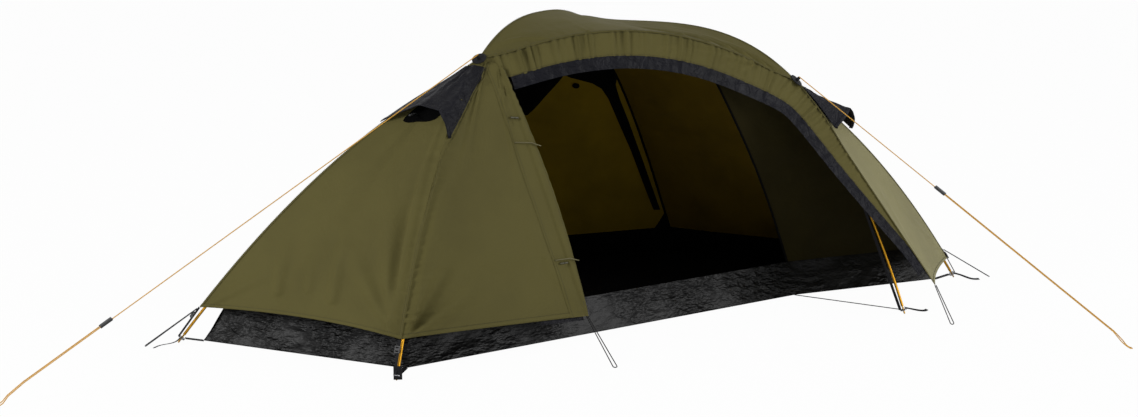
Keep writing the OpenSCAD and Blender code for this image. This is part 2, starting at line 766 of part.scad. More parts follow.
// A hairpin from p, on the hem, round q, on the ground
function hairpin(p, q) =
    let (
        d = unit(q - p),
        side = unit([-d.y, d.x, 0]),
        r = loop_w / 2
    )
    concat(
        [for (f = [0, 0.3, 0.6, 0.9]) mix(p + side * 2, q + side * r, f)],
        [for (a = [0 : 30 : 180]) q - d * r + side * r * cos(a) + d * r * sin(a)],
        [for (f = [0.9, 0.6, 0.3, 0]) mix(p - side * 2, q - side * r, f)]);
ground_z = loop_d / 2 + 0.3;
// How far each loop reaches out past its corner
head_loop_out = 95;
end_loop_out = 118;
corner_loop_out = 115;
door_loop_out = 270;
module hem_loops() {
    head_corner = seam(0, hem_at(0, true));
    end_corner = seam(0, hem_at(0, false));
    color("#1c1c1e") {
        tube(hairpin(head_corner - [8.5, 0, 4], [foot_a.x - head_loop_out, -10, ground_z]), loop_d / 2);
        tube(hairpin(end_corner + [8.5, 0, -4], [foot_d.x + end_loop_out, -30, ground_z]), loop_d / 2);
        tube(hairpin(fly_corner + [0, -2, -2], [fly_corner.x, fly_corner.y - corner_loop_out, ground_z]),
            loop_d / 2);
        tube(hairpin(door_corner + [0, 0, -2], [door_corner.x - 5, door_corner.y - door_loop_out, ground_z]),
            loop_d / 2);
    }
}

// ---- Crossing patches ----
// A round patch over each place where the front pole crosses another, with a tab for a guy line
patch_d = 44;
patch_t = 2;
patch_lift = 1.3;
guy_tab_d = 10;
guy_tab_h = 11.6;
function crossing_normal(which, near_t, other) =
    let (
        u = bow(0, near_t + 0.002) - bow(0, near_t - 0.002),
        v = bow(which, other + 0.002) - bow(which, other - 0.002),
        n = unit(cross(u, v))
    )
    n.z > 0 ? n : -n;
function patch_at(which, near_t, other) = seam(which, other)
    + crossing_normal(which, near_t, other) * patch_lift;
module patch(which, near_t, other) {
    n = crossing_normal(which, near_t, other);
    p = patch_at(which, near_t, other);
    along(p, p + n)
        union() {
            cylinder(d = patch_d, h = patch_t, $fn = 32);
            cylinder(d = guy_tab_d, h = patch_t + guy_tab_h, $fn = 24);
        }
}
module crossing_patches() {
    color("#1c1c1e") {
        patch(1, t_head, s_front);
        patch(2, t_foot, r_front);
    }
}

// ---- Guy lines ----
// Each runs straight to the ground, round its peg and back up into the tensioner
head_route = [
    [-418, -180, 847], [-695, -238, 681], [-972, -296, 515], [-1249, -354, 349], [-1526, -412, 183],
    [-1733.75, -455.5, 58.5], [-1776, -466, 28], [-1790, -470, 11], [-1800, -471, 5],
    [-1808, -466, 3.5], [-1809, -458, 3.5], [-1802, -453, 5], [-1792, -453, 11], [-1778, -456, 28],
    [-1735.75, -446.5, 58.5], [-1528, -403, 183]
];
foot_route = [
    [623, -157, 737], [768, -310, 592], [913, -463, 447], [1058, -616, 302], [1203, -769, 157],
    [1311.75, -883.75, 48.25], [1328, -903, 22], [1338, -914, 11], [1346, -921, 5], [1354, -920, 3.5],
    [1357, -913, 3.5], [1352, -906, 5], [1345, -902, 11], [1336, -897, 24],
    [1317.75, -877.75, 48.25], [955.25, -495.25, 410.75]
];
module head_guy_line() {
    color("#c8923c") tube(head_route, guy_d / 2);
}
module foot_guy_line() {
    color("#c8923c") tube(foot_route, guy_d / 2);
}

// A flat tensioner with two holes, which grips the line by friction and slides along it
line_clear = 0.6;
module tensioner(place, down, beside) {
    spread = norm(beside);
    turned = beside * [-down.y, down.x, 0] > 0 ? 1 : -1;
    along(place, place + down)
        difference() {
            translate([0, turned * spread / 2, -tensioner_len / 2])
                linear_extrude(tensioner_len)
                    union() {
                        square([tensioner_t, tensioner_w - tensioner_t], center = true);
                        for (m = [-1, 1])
                            translate([0, m * (tensioner_w - tensioner_t) / 2])
                                circle(d = tensioner_t, $fn = 32);
                    }
            for (y = [0, turned * spread])
                translate([0, y, -tensioner_len])
                    cylinder(d = guy_d + 2 * line_clear, h = 2 * tensioner_len, $fn = 24);
        }
}
module head_tensioner() {
    color("#222222")
        tensioner(mix(head_route[3], head_route[4], 0.96),
            unit(head_route[4] - head_route[3]), [-2, 9, 0]);
}
module foot_tensioner() {
    color("#222222")
        tensioner(mix(foot_route[2], foot_route[3], 0.2),
            unit(foot_route[3] - foot_route[2]), [6, 6, 0]);
}

front_pole();
front_pole_ferrules();
head_pole();
head_pole_ferrules();
foot_pole();
foot_pole_ferrules();
pole_tips();
eyelet_rings();
floor_sheet();
floor_wall();
floor_straps();
hem_straps();
fly_head_panel();
fly_foot_panel();
fly_roof_panel();
fly_rear_panel();
fly_rear_head_panel();
fly_rear_foot_panel();
fly_door_panel();
fly_brow_band();
fly_brow_edging();
head_vent_hood();
foot_vent_hood();
head_vent_prop();
foot_vent_prop();
inner_head_panel();
inner_rear_head_panel();
inner_rear_panel();
inner_rear_foot_panel();
inner_foot_panel();
inner_roof_panel();
crossing_patches();
door_zip();
zip_slider();
upper_toggle();
lower_toggle();
hem_loops();
hem_buckles();
head_guy_line();
foot_guy_line();
head_tensioner();
foot_tensioner();
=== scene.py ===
"""Looks of a low tent on three poles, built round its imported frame.

It makes the cloth, webbing, cords, stitching and pole tubes, and gives the small hardware its finishes.
"""

import json
import logging
import math
from dataclasses import dataclass, field
from enum import Enum
from typing import Sequence

import bmesh
import bpy
import numpy as np
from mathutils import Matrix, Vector

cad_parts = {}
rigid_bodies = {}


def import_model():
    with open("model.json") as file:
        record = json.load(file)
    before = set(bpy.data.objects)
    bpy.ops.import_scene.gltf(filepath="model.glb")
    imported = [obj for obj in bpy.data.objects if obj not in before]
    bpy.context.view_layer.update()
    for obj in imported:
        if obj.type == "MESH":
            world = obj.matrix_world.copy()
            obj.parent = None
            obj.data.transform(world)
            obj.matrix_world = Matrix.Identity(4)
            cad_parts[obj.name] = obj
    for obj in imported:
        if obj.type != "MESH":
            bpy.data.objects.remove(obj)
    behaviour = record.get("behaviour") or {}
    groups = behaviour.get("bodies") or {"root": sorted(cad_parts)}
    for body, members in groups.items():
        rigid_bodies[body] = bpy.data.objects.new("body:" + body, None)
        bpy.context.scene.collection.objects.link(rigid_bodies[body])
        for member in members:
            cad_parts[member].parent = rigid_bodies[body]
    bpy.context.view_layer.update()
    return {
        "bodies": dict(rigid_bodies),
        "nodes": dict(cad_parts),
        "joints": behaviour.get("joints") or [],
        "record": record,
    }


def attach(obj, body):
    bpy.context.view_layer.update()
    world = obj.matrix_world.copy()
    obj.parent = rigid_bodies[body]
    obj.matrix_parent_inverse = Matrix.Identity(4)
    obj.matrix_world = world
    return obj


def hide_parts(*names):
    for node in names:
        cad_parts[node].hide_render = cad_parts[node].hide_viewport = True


log = logging.getLogger("tent")
TENT = "tent"
Points = np.ndarray


# ---- Small mathematics ----
def unit(v: Points) -> Points:
    """Scale vectors to length one along their last axis."""
    length = np.linalg.norm(v, axis=-1, keepdims=True)
    return v / np.maximum(length, 1e-12)


def mix(a: Points | float, b: Points | float, t: Points | float) -> Points | float:
    """Go the share t of the way from a to b."""
    return a + (b - a) * t


def turn(a: Points, b: Points) -> float:
    """Signed area between two plan directions."""
    return float(a[0] * b[1] - a[1] * b[0])


def rise(t: Points | float, full: float) -> Points | float:
    """Share of a bow's height at the share t of its span; a fullness of 2 is a parabola."""
    return 1 - np.abs(2 * t - 1) ** full


def even(k: Points | float) -> Points | float:
    """Value of t for a place k along a bow, closer together near its feet."""
    return (1 - np.cos(np.pi * k)) / 2


def uneven(t: Points | float) -> Points | float:
    """Place k along a bow for a value of t."""
    return np.arccos(1 - 2 * t) / np.pi


def refine(grid: Points, times: int, axis: int) -> Points:
    """Put smooth Catmull-Rom points between a grid's rows.

    Args:
        grid: Points whose first two axes are rows and columns.
        times: How many new steps each old step becomes.
        axis: The axis that gets more points, 0 or 1.

    Returns:
        The finer grid, which passes through every old point.
    """
    g = np.moveaxis(grid, axis, 0)
    ext = np.concatenate([[2 * g[0] - g[1]], g, [2 * g[-1] - g[-2]]])
    out = []
    for i in range(len(g) - 1):
        a, b, c, d = ext[i : i + 4]
        for s in range(times):
            t = s / times
            square = (2 * a - 5 * b + 4 * c - d) * t**2
            cube = (3 * b - a - 3 * c + d) * t**3
            out.append(0.5 * (2 * b + (c - a) * t + square + cube))
    out.append(g[-1])
    return np.moveaxis(np.array(out), 0, axis)


def resample(path: Points, count: int) -> Points:
    """Spread points evenly along a path.

    Args:
        path: The path's own points.
        count: How many points to return.

    Returns:
        The evenly spread points, ends included.
    """
    steps = np.r_[0, np.cumsum(np.linalg.norm(np.diff(path, axis=0), axis=1))]
    at = np.linspace(0, steps[-1], count)
    return np.stack([np.interp(at, steps, path[:, k]) for k in range(3)], axis=1)


def length_of(path: Points) -> float:
    """Length of a path in metres."""
    return float(np.linalg.norm(np.diff(path, axis=0), axis=1).sum())


def normals_of(grid: Points) -> Points:
    """Outward normals of a grid.

    Args:
        grid: Points whose rows go up and whose columns go round the tent.

    Returns:
        One normal for each point.
    """
    up = np.gradient(grid, axis=0)
    along = np.gradient(grid, axis=1)
    return unit(np.cross(along, up))


def hum(x: Points, seed: int, waves: int = 5) -> Points:
    """Smooth one-dimensional noise between about -1 and 1, the same each time.

    Args:
        x: Places, where one unit is about one wave.
        seed: Picks the noise.
        waves: How many sine waves it is made of.

    Returns:
        The noise at each place.
    """
    rng = np.random.default_rng(seed)
    out = np.zeros_like(x, dtype=float)
    for _ in range(waves):
        out += np.sin(x * rng.uniform(0.6, 1.9) * 2 * np.pi + rng.uniform(0, 2 * np.pi))
    return out / waves**0.5 / 1.2


# ---- Where the poles and the floor lie ----
class Pole(Enum):
    """The three poles of the frame."""

    FRONT = 0
    HEAD = 1
    FOOT = 2


@dataclass(frozen=True)
class TentSizes:
    """The tent's main sizes in metres, the same as in its construction."""

    long_span: float = 2.6
    head_front: tuple[float, float] = (0.54, 0.56)
    foot_front: tuple[float, float] = (0.39, 0.37)
    rear_out: float = 0.71
    head_rear_x: float = 0.54
    foot_rear_x: float = 0.56
    pole_d: float = 0.0085
    front_h: float = 0.89
    front_lean: float = 0.21
    front_full: float = 2.0
    head_lean: float = 0.04
    head_full: float = 2.5
    tip_len: float = 0.026
    floor_t: float = 0.003
    floor_end_in: float = 0.075
    floor_front_in: float = 0.105
    floor_front_share: float = 0.45
    floor_rear_in: float = 0.05
    floor_rear_share: float = 0.6
    porch_out: float = 0.32
    porch_share: float = 0.72
    wall_h: float = 0.1
    wall_lean: float = 0.045
    fly_off: float = 0.016
    hem_z: float = 0.11
    hem_rise: float = 0.012
    panel_sag: float = 0.025
    brow_depth: float = 0.075
    edging_depth: float = 0.038
    inner_gap: float = 0.045
    guy_d: float = 0.003
    seat_gap: float = 0.0003
    cross_step: float = 1.7  # pole widths between two axes where poles cross
    core_share: float = 0.14  # how far back the tent's middle lies, as a share of rear_out
    fly_corner_off: tuple[float, float, float] = (0.08, -0.04, -0.01)
    flare_h: float = 0.42
    flare_fade: float = 1.4
    door_corner_share: tuple[float, float, float] = (-0.054, -0.643, 0.73)
    door_top_share: float = 0.06
    door_top_under: tuple[float, float, float] = (0, 0.6, 1.5)


@dataclass
class Plan:
    """Finds the three bows, the places where they cross, and the lines that the cloth hangs from."""

    sizes: TentSizes = field(default_factory=TentSizes)
    rounds: int = 9  # enough for a crossing and the pole over it to settle
    fullest: tuple[float, float] = (1.3, 9.0)  # fullness between which the foot pole's lies

    def __post_init__(self) -> None:
        """Settle the crossings, as in the construction."""
        s = self.sizes
        half = s.long_span / 2
        self.a = np.array([-half, 0.0])
        self.d = np.array([half, 0.0])
        self.b = np.array([-half + s.head_front[0], -s.head_front[1]])
        self.c = np.array([half - s.foot_front[0], -s.foot_front[1]])
        self.q = np.array([s.head_rear_x, s.rear_out])
        self.r = np.array([-s.foot_rear_x, s.rear_out])
        self.core = np.array([0.0, s.core_share * s.rear_out, 0.0])
        step = (s.pole_d + s.seat_gap) * s.cross_step
        self.t_head = 0.3
        height = s.front_h
        for _ in range(self.rounds):
            shift = self._shift(height)
            self.t_head = self._crossing(self.b + shift, self.q + shift, 0.05, 0.6)
            height = float(self.front(self.t_head)[2]) + step
        self.t_foot = self._crossing(self.c, self.r, 0.95, 0.5)
        self.s_front = self._share(self.front(self.t_head), self.b, self.q)
        self.r_front = self._share(self.front(self.t_foot), self.c, self.r)
        self.head_h = (float(self.front(self.t_head)[2]) + step) / float(rise(self.s_front, s.head_full))
        z = self.head_h
        for _ in range(self.rounds):
            start = self.b + self._shift(z)
            self.s_rear = turn(self.c - start, self.r - self.c) / turn(self.q - self.b, self.r - self.c)
            z = self.head_h * float(rise(self.s_rear, s.head_full))
        self.r_rear = self._share(self.head(self.s_rear), self.c, self.r)
        z_rear = self.head_h * float(rise(self.s_rear, s.head_full)) - step
        z_side = float(self.front(self.t_foot)[2]) + step
        low, high = self.fullest
        for _ in range(40):
            middle = (low + high) / 2
            if rise(self.r_front, middle) / rise(self.r_rear, middle) < z_side / z_rear:
                low = middle
            else:
                high = middle
        self.foot_full = low
        self.foot_h = z_rear / float(rise(self.r_rear, low))

    def _shift(self, z: Points | float) -> Points:
        """Sideways lean of the head pole at a height."""
        side = unit(np.array([self.b[1] - self.q[1], self.q[0] - self.b[0]]))
        return self.sizes.head_lean * np.multiply.outer(z, side)

    def _share(self, p: Points, start: Points, end: Points) -> float:
        """Share of the way from start to end in plan that lies nearest to p."""
        line = end - start
        return float((np.asarray(p)[:2] - start) @ line / (line @ line))

    def _crossing(self, p: Points, q: Points, low: float, high: float) -> float:
        """Find where the front pole crosses a line in plan.

        Args:
            p: One end of the line.
            q: Its other end.
            low: A place on the pole on one side of the line.
            high: A place on its other side.

        Returns:
            The place on the front pole.
        """
        for _ in range(50):
            middle = (low + high) / 2
            same = turn(q - p, self.front(middle)[:2] - p) * turn(q - p, self.front(low)[:2] - p) > 0
            low, high = (middle, high) if same else (low, middle)
        return (low + high) / 2

    def front(self, t: Points | float) -> Points:
        """Point on the long front pole's axis."""
        z = self.sizes.front_h * rise(t, self.sizes.front_full)
        return np.stack([mix(self.a[0], self.d[0], t) + 0 * z, -self.sizes.front_lean * z, z], axis=-1)

    def head(self, t: Points | float) -> Points:
        """Find a point on the head pole's axis.

        Args:
            t: Its place along the pole, from 0 to 1.

        Returns:
            The point.
        """
        z = self.head_h * rise(t, self.sizes.head_full)
        plan = self.b + np.multiply.outer(t, self.q - self.b) + self._shift(z)
        return np.concatenate([plan, np.asarray(z)[..., None]], axis=-1)

    def foot(self, t: Points | float) -> Points:
        """Find a point on the foot pole's axis.

        Args:
            t: Its place along the pole, from 0 to 1.

        Returns:
            The point.
        """
        z = self.foot_h * rise(t, self.foot_full)
        plan = self.c + np.multiply.outer(t, self.r - self.c)
        return np.concatenate([plan, np.asarray(z)[..., None]], axis=-1)

    def bow(self, pole: Pole, t: Points | float) -> Points:
        """Point on a pole's axis."""
        return {Pole.FRONT: self.front, Pole.HEAD: self.head, Pole.FOOT: self.foot}[pole](t)

    def at_height(self, pole: Pole, z: float, near: bool) -> float:
        """Find a place on a pole by its height.

        Args:
            pole: Which pole.
            z: The height in metres.
            near: Whether it is on the pole's first leg, not its last.

        Returns:
            The place along the pole, from 0 to 1.
        """
        s = self.sizes
        h, full = {
            Pole.FRONT: (s.front_h, s.front_full),
            Pole.HEAD: (self.head_h, s.head_full),
            Pole.FOOT: (self.foot_h, self.foot_full),
        }[pole]
        t = (1 - (1 - z / h) ** (1 / full)) / 2
        return t if near else 1 - t

    def away(self, p: Points) -> Points:
        """Direction away from the tent's middle."""
        return unit(p - self.core)

    def seam(self, pole: Pole, t: Points | float, extra: float = 0.0) -> Points:
        """Point where the flysheet passes over a pole."""
        p = self.bow(pole, t)
        return p + (self.sizes.fly_off + extra) * self.away(p)

    def inner_seam(self, pole: Pole, t: Points | float) -> Points:
        """Point where the inner tent hangs under a pole."""
        p = self.bow(pole, t)
        return p - (self.sizes.inner_gap - self.sizes.fly_off) * self.away(p)

    def places(self, a: float, b: float, n: int) -> Points:
        """Places from a to b on a pole, closer together near its feet."""
        return even(mix(uneven(a), uneven(b), np.linspace(0, 1, n + 1)))

    def seam_line(self, pole: Pole, a: float, b: float, n: int, extra: float = 0.0) -> Points:
        """Seam points from a to b along a pole."""
        return self.seam(pole, self.places(a, b, n), extra)

    def hem_at(self, pole: Pole, near: bool) -> float:
        """Place on a pole where the flysheet's hem corner lies."""
        return self.at_height(pole, self.sizes.hem_z, near)

    def leg(self, pole: Pole, near: bool) -> tuple[Points, Points]:
        """Find a pole's foot.

        Args:
            pole: Which pole.
            near: Whether it is the foot of its first leg.

        Returns:
            The foot and the direction up along the pole there.
        """
        t = self.at_height(pole, self.sizes.tip_len, near)
        step = 0.002 if near else -0.002
        p, q = self.bow(pole, t), self.bow(pole, t + step)
        return p, unit(q - p)

    @property
    def fly_corner(self) -> Points:
        """The flysheet's front corner at the foot end, which stands out from the pole."""
        return np.array([*self.c, self.sizes.hem_z]) + np.array(self.sizes.fly_corner_off)

    def foot_edge(self, n: int, extra: float = 0.0) -> Points:
        """Front edge of the foot end, which flares from the pole to its own corner.

        Args:
            n: How many steps to make along it.
            extra: How far outside the seam it lies, in metres.

        Returns:
            Its points, from the hem up.
        """
        base = self.seam(Pole.FOOT, self.hem_at(Pole.FOOT, True), extra)
        line = self.seam_line(Pole.FOOT, self.hem_at(Pole.FOOT, True), self.r_front, n, extra)
        flare = np.clip(1 - (line[:, 2] - base[2]) / self.sizes.flare_h, 0, None) ** self.sizes.flare_fade
        return line + flare[:, None] * (self.fly_corner - base)

    @property
    def door_corner(self) -> Points:
        """Hem corner of the fixed half of the door side."""
        s = self.sizes
        return np.array(s.door_corner_share) * (s.long_span, s.head_front[1], s.hem_z)

    @property
    def door_top(self) -> Points:
        """Top of the door's edge, under the brow."""
        t = mix(self.t_head, self.t_foot, self.sizes.door_top_share)
        return self.seam(Pole.FRONT, t) - self.sizes.fly_off * np.array(self.sizes.door_top_under)

    @property
    def floor_corners(self) -> Points:
        """Corners of the floor in plan.

        Returns:
            The corners, going round from the head end by the front.
        """
        s = self.sizes
        return np.array(
            [
                [self.a[0] + s.floor_end_in, 0.0],
                [self.b[0] + s.floor_front_in * s.floor_front_share, self.b[1] + s.floor_front_in],
                [self.c[0] - s.porch_out * s.porch_share, self.c[1] + s.porch_out],
                [self.d[0] - s.floor_end_in, 0.0],
                [self.q[0] - s.floor_rear_in * s.floor_rear_share, self.q[1] - s.floor_rear_in],
                [self.r[0] + s.floor_rear_in * s.floor_rear_share, self.r[1] - s.floor_rear_in],
            ]
        )

    def inset(self, t: float) -> Points:
        """Move the floor's corners in.

        Args:
            t: How far each side moves in, in metres.

        Returns:
            The six corners in plan.
        """
        p = self.floor_corners
        u = unit(p - np.roll(p, 1, axis=0))
        v = unit(np.roll(p, -1, axis=0) - p)
        m = unit(np.stack([-u[:, 1] - v[:, 1], u[:, 0] + v[:, 0]], axis=1))
        return p + m * t / (m * np.stack([-u[:, 1], u[:, 0]], axis=1)).sum(axis=1, keepdims=True)


def span(plan: Plan, low: Points, high: Points, n: int, sag: float, lift: float = 0.0) -> Points:
    """Hang cloth between two edges.

    Args:
        plan: The tent's plan, whose middle the cloth sags towards.
        low: The first edge's points, from the hem up.
        high: The second edge's points, as many as the first's.
        n: How many steps to make from edge to edge.
        sag: How far the middle hangs in, in metres.
        lift: How far the hem rises in the middle, in metres.

    Returns:
        A grid of points, rows going up and columns going from low to high.
    """
    u = np.linspace(0, 1, n + 1)[None, :, None]
    d = (high - low)[:, None, :]
    wide = np.linalg.norm(d, axis=-1, keepdims=True)
    f = (1 - np.arange(len(low)) / (len(low) - 1))[:, None, None]
    p = low[:, None, :] + d * u
    hang = 4 * u * (1 - u)
    inward = unit((p - plan.core) * np.array([1, 1, 0.3]))  # more level than the way to the middle
    tight = np.minimum(1, wide / 0.9)  # cloth narrower than 0.9 m sags less
    up = np.array([0, 0, 1.0])
    return p - inward * sag * hang * tight + up * lift * hang * f**3


# ---- Colours and node trees ----
Tree = bpy.types.NodeTree
Socket = bpy.types.NodeSocket


def linear(hex_colour: str) -> tuple[float, float, float, float]:
    """Turn an sRGB hex colour into linear RGBA.

    Args:
        hex_colour: A colour such as "#5b5a35".

    Returns:
        The four linear channels.
    """
    out = []
    for i in (1, 3, 5):
        c = int(hex_colour[i : i + 2], 16) / 255
        out.append(c / 12.92 if c <= 0.04045 else ((c + 0.055) / 1.055) ** 2.4)
    return (out[0], out[1], out[2], 1.0)


def settle(tree: Tree, node: bpy.types.Node, inputs: dict[str | int, object]) -> None:
    """Feed a node's inputs.

    Args:
        tree: The node tree it is in.
        node: The node.
        inputs: For each input socket, by name or number, a value or the output socket that feeds it.
    """
    for key, value in inputs.items():
        if isinstance(value, Socket):
            tree.links.new(value, node.inputs[key])
        else:
            node.inputs[key].default_value = value


def add(
    tree: Tree, kind: str, inputs: dict[str | int, object] | None = None, **settings: object
) -> bpy.types.Node:
    """Add a node with its settings and links.

    Args:
        tree: The node tree it goes in.
        kind: Blender's name for the kind of node.
        inputs: For each input socket, by name or number, a value or the output socket that feeds it.
        **settings: The node's own properties.

    Returns:
        The new node.
    """
    node = tree.nodes.new(kind)
    for key, value in settings.items():
        setattr(node, key, value)
    settle(tree, node, inputs or {})
    return node


# ---- Patterns for finishes ----
BANDS = 1000 * 2 * math.pi / 20  # scale at which the bands of a wave texture lie 1 mm apart


def noise(
    tree: Tree,
    mm: float,
    place: Socket,
    detail: float = 2.0,
    roughness: float = 0.5,
    distortion: float = 0.0,
) -> Socket:
    """Add a cloudy pattern.

    Args:
        tree: The node tree it goes in.
        mm: About the size of its clouds.
        place: The place of each point.
        detail: How many finer layers it has.
        roughness: How strong they are.
        distortion: How far it is pushed about.

    Returns:
        The pattern.
    """
    looks = {"Detail": detail, "Roughness": roughness, "Distortion": distortion}
    return add(tree, "ShaderNodeTexNoise", {"Scale": 1000 / mm, "Vector": place, **looks}).outputs["Fac"]


def bands(tree: Tree, mm: float, place: Socket, way: str, distortion: float, detail: float = 2.0) -> Socket:
    """Add a pattern of bands.

    Args:
        tree: The node tree it goes in.
        mm: Distance from band to band.
        place: The place of each point.
        way: The direction across the bands: X, Y or DIAGONAL.
        distortion: How uneven they are.
        detail: How fine their unevenness is.

    Returns:
        The pattern.
    """
    inputs = {"Scale": BANDS / mm, "Vector": place, "Distortion": distortion, "Detail": detail}
    return add(tree, "ShaderNodeTexWave", inputs, bands_direction=way).outputs["Fac"]


def ranged(
    tree: Tree, value: Socket, low: float, high: float, to_low: float = 0.0, to_high: float = 1.0
) -> Socket:
    """Stretch a pattern to another range.

    Args:
        tree: The node tree it goes in.
        value: The pattern.
        low: The value that becomes to_low.
        high: The value that becomes to_high.
        to_low: The least of the new range.
        to_high: The most of the new range.

    Returns:
        The new pattern.
    """
    inputs = {"Value": value, "From Min": low, "From Max": high, "To Min": to_low, "To Max": to_high}
    return add(tree, "ShaderNodeMapRange", inputs).outputs["Result"]


def blend(tree: Tree, first: str, second: str, share: Socket) -> Socket:
    """Mix two hex colours by a pattern, which is 0 where the first shows."""
    inputs = {6: linear(first), 7: linear(second), 0: share}
    return add(tree, "ShaderNodeMix", inputs, data_type="RGBA").outputs[2]


def maths(tree: Tree, operation: str, first: Socket, second: Socket | float) -> Socket:
    """Combine a pattern with another, or with a number, by an operation."""
    return add(tree, "ShaderNodeMath", {0: first, 1: second}, operation=operation).outputs["Value"]


def bump(tree: Tree, strength: float, depth: float, height: Socket, under: Socket | None = None) -> Socket:
    """Raise a surface by a pattern.

    Args:
        tree: The node tree it goes in.
        strength: How much of the relief shows.
        depth: The relief's depth in metres.
        height: The pattern.
        under: The relief that it lies on, or None.

    Returns:
        The surface's normal.
    """
    inputs = {"Strength": strength, "Distance": depth, "Height": height}
    if under is not None:
        inputs["Normal"] = under
    return add(tree, "ShaderNodeBump", inputs).outputs["Normal"]


# ---- Finishes ----
METAL = (("Metallic", 1.0),)
Start = tuple[bpy.types.Material, Tree, bpy.types.Node, Socket, Socket]


@dataclass(frozen=True)
class Finish:
    """What every finish has: a name and the record's material slot."""

    name: str
    slot: str

    def start(self) -> Start:
        """Start a material.

        Returns:
            The material, its node tree and main shader, and a point's place in space and on flat cloth.
        """
        material = bpy.data.materials.new(self.name)
        material.use_nodes = True
        tree = material.node_tree
        place = add(tree, "ShaderNodeTexCoord").outputs
        return material, tree, tree.nodes["Principled BSDF"], place["Object"], place["UV"]

    def make(self) -> bpy.types.Material:
        """Build the material, which each finish does in its own way."""
        raise NotImplementedError


@dataclass(frozen=True)
class CoatedTaffeta(Finish):
    """Woven nylon taffeta with a polyurethane coat: an even, faintly silky cloth with packing creases."""

    colour: str = "#5f5934"
    deep: str = "#575130"
    roughness: float = 0.6
    specular: float = 0.03
    thread_mm: float = 1.7765  # the real 0.25 mm threads would not show, so they are drawn coarser
    patch_mm: float = 200.0
    crease_mm: float = 160.0
    weave: float = 0.05
    creased: float = 0.3

    def make(self) -> bpy.types.Material:
        """Build the material.

        Returns:
            The material.
        """
        material, tree, shader, solid, flat = self.start()
        patches = noise(tree, self.patch_mm, solid, 3.0, 0.55)
        shade = blend(tree, self.deep, self.colour, ranged(tree, patches, 0.25, 0.6, 0.35))
        warp = bands(tree, self.thread_mm, flat, "X", 0.3)
        weft = bands(tree, self.thread_mm, flat, "Y", 0.3)
        rumple = noise(tree, self.crease_mm, solid, 4.0, 0.6, 0.6)
        soft = bump(tree, self.creased, 0.02, rumple)
        fine = bump(tree, self.weave, 0.0006, maths(tree, "ADD", warp, weft), soft)
        gloss = ranged(tree, rumple, 0, 1, self.roughness - 0.07, self.roughness + 0.08)
        looks = {"Base Color": shade, "Roughness": gloss, "Normal": fine}
        settle(tree, shader, {**looks, "Specular IOR Level": self.specular, "IOR": 1.5})
        return material


@dataclass(frozen=True)
class Tarpaulin(Finish):
    """Woven polyethylene tape filmed on both faces: stiff and shiny, with crumpled patches that glint and a
    painted sheen that makes the tops of its broad folds paler.
    """

    colour: str = "#090909"
    pale: str = "#121212"
    roughness: float = 0.42
    specular: float = 0.18
    tape_mm: float = 2.6
    crinkle_mm: float = 52.0
    patch_mm: float = 181.82
    fold_mm: float = 166.67

    def make(self) -> bpy.types.Material:
        """Build the material.

        Returns:
            The material.
        """
        material, tree, shader, solid, flat = self.start()
        wider = {"Scale": (1.0, 1.0, 2.4), "Vector": solid}  # crumples are longer than they are high
        lying = add(tree, "ShaderNodeMapping", wider).outputs["Vector"]
        crumpled = ranged(tree, noise(tree, self.patch_mm, solid), 0.42, 0.66, 0.16)
        cells = {"Scale": 1000 / self.crinkle_mm, "Detail": 2.0, "Roughness": 0.6, "Vector": lying}
        crumple = add(tree, "ShaderNodeTexVoronoi", cells, feature="F1").outputs["Distance"]
        folded = maths(tree, "MULTIPLY", crumple, crumpled)
        streak = noise(tree, self.fold_mm, lying, 1.5, 0.45, 0.2)
        tape = add(tree, "ShaderNodeTexChecker", {"Scale": 1000 / self.tape_mm, "Vector": flat})
        wide = bump(tree, 0.34, 0.03, streak)
        soft = bump(tree, 0.8, 0.01, folded, wide)
        fine = bump(tree, 0.1, 0.0004, tape.outputs["Fac"], soft)
        # Paler on the tops of the broad folds, where the streak pattern that raises them is high: a painted
        # sheen.
        shade = blend(tree, self.colour, self.pale, ranged(tree, streak, 0.56, 0.82))
        looks = {"Base Color": shade, "Roughness": self.roughness, "Normal": fine}
        settle(tree, shader, {**looks, "Specular IOR Level": self.specular, "IOR": 1.5})
        return material


@dataclass(frozen=True)
class Webbing(Finish):
    """Woven polypropylene webbing: ribs across, with a dull shine."""

    colour: str = "#0e0e10"
    worn: str = "#1d1d20"
    rib_mm: float = 3.158  # the real 1 mm ribs would not show, so they are drawn coarser
    wear_mm: float = 3.3333

    def make(self) -> bpy.types.Material:
        """Build the material.

        Returns:
            The material.
        """
        material, tree, shader, solid, flat = self.start()
        ribs = bands(tree, self.rib_mm, flat, "Y", 0.8, 1.0)
        shade = blend(tree, self.colour, self.worn, noise(tree, self.wear_mm, solid))
        looks = {"Base Color": shade, "Normal": bump(tree, 0.5, 0.0005, ribs), "IOR": 1.5}
        settle(tree, shader, {**looks, "Roughness": 0.7, "Specular IOR Level": 0.15})
        return material


@dataclass(frozen=True)
class BraidedCord(Finish):
    """Braided polyester cord: slanting strands round a core."""

    colour: str = "#ecb54c"
    dark: str = "#b98732"
    strand_mm: float = 2.3686  # about twice the real strands, which would not show

    def make(self) -> bpy.types.Material:
        """Build the material.

        Returns:
            The material.
        """
        material, tree, shader, solid, _ = self.start()
        strands = bands(tree, self.strand_mm, solid, "DIAGONAL", 0.6)
        shade = blend(tree, self.dark, self.colour, strands)
        looks = {"Base Color": shade, "Normal": bump(tree, 0.5, 0.0004, strands), "IOR": 1.5}
        settle(tree, shader, {**looks, "Roughness": 0.6})
        return material


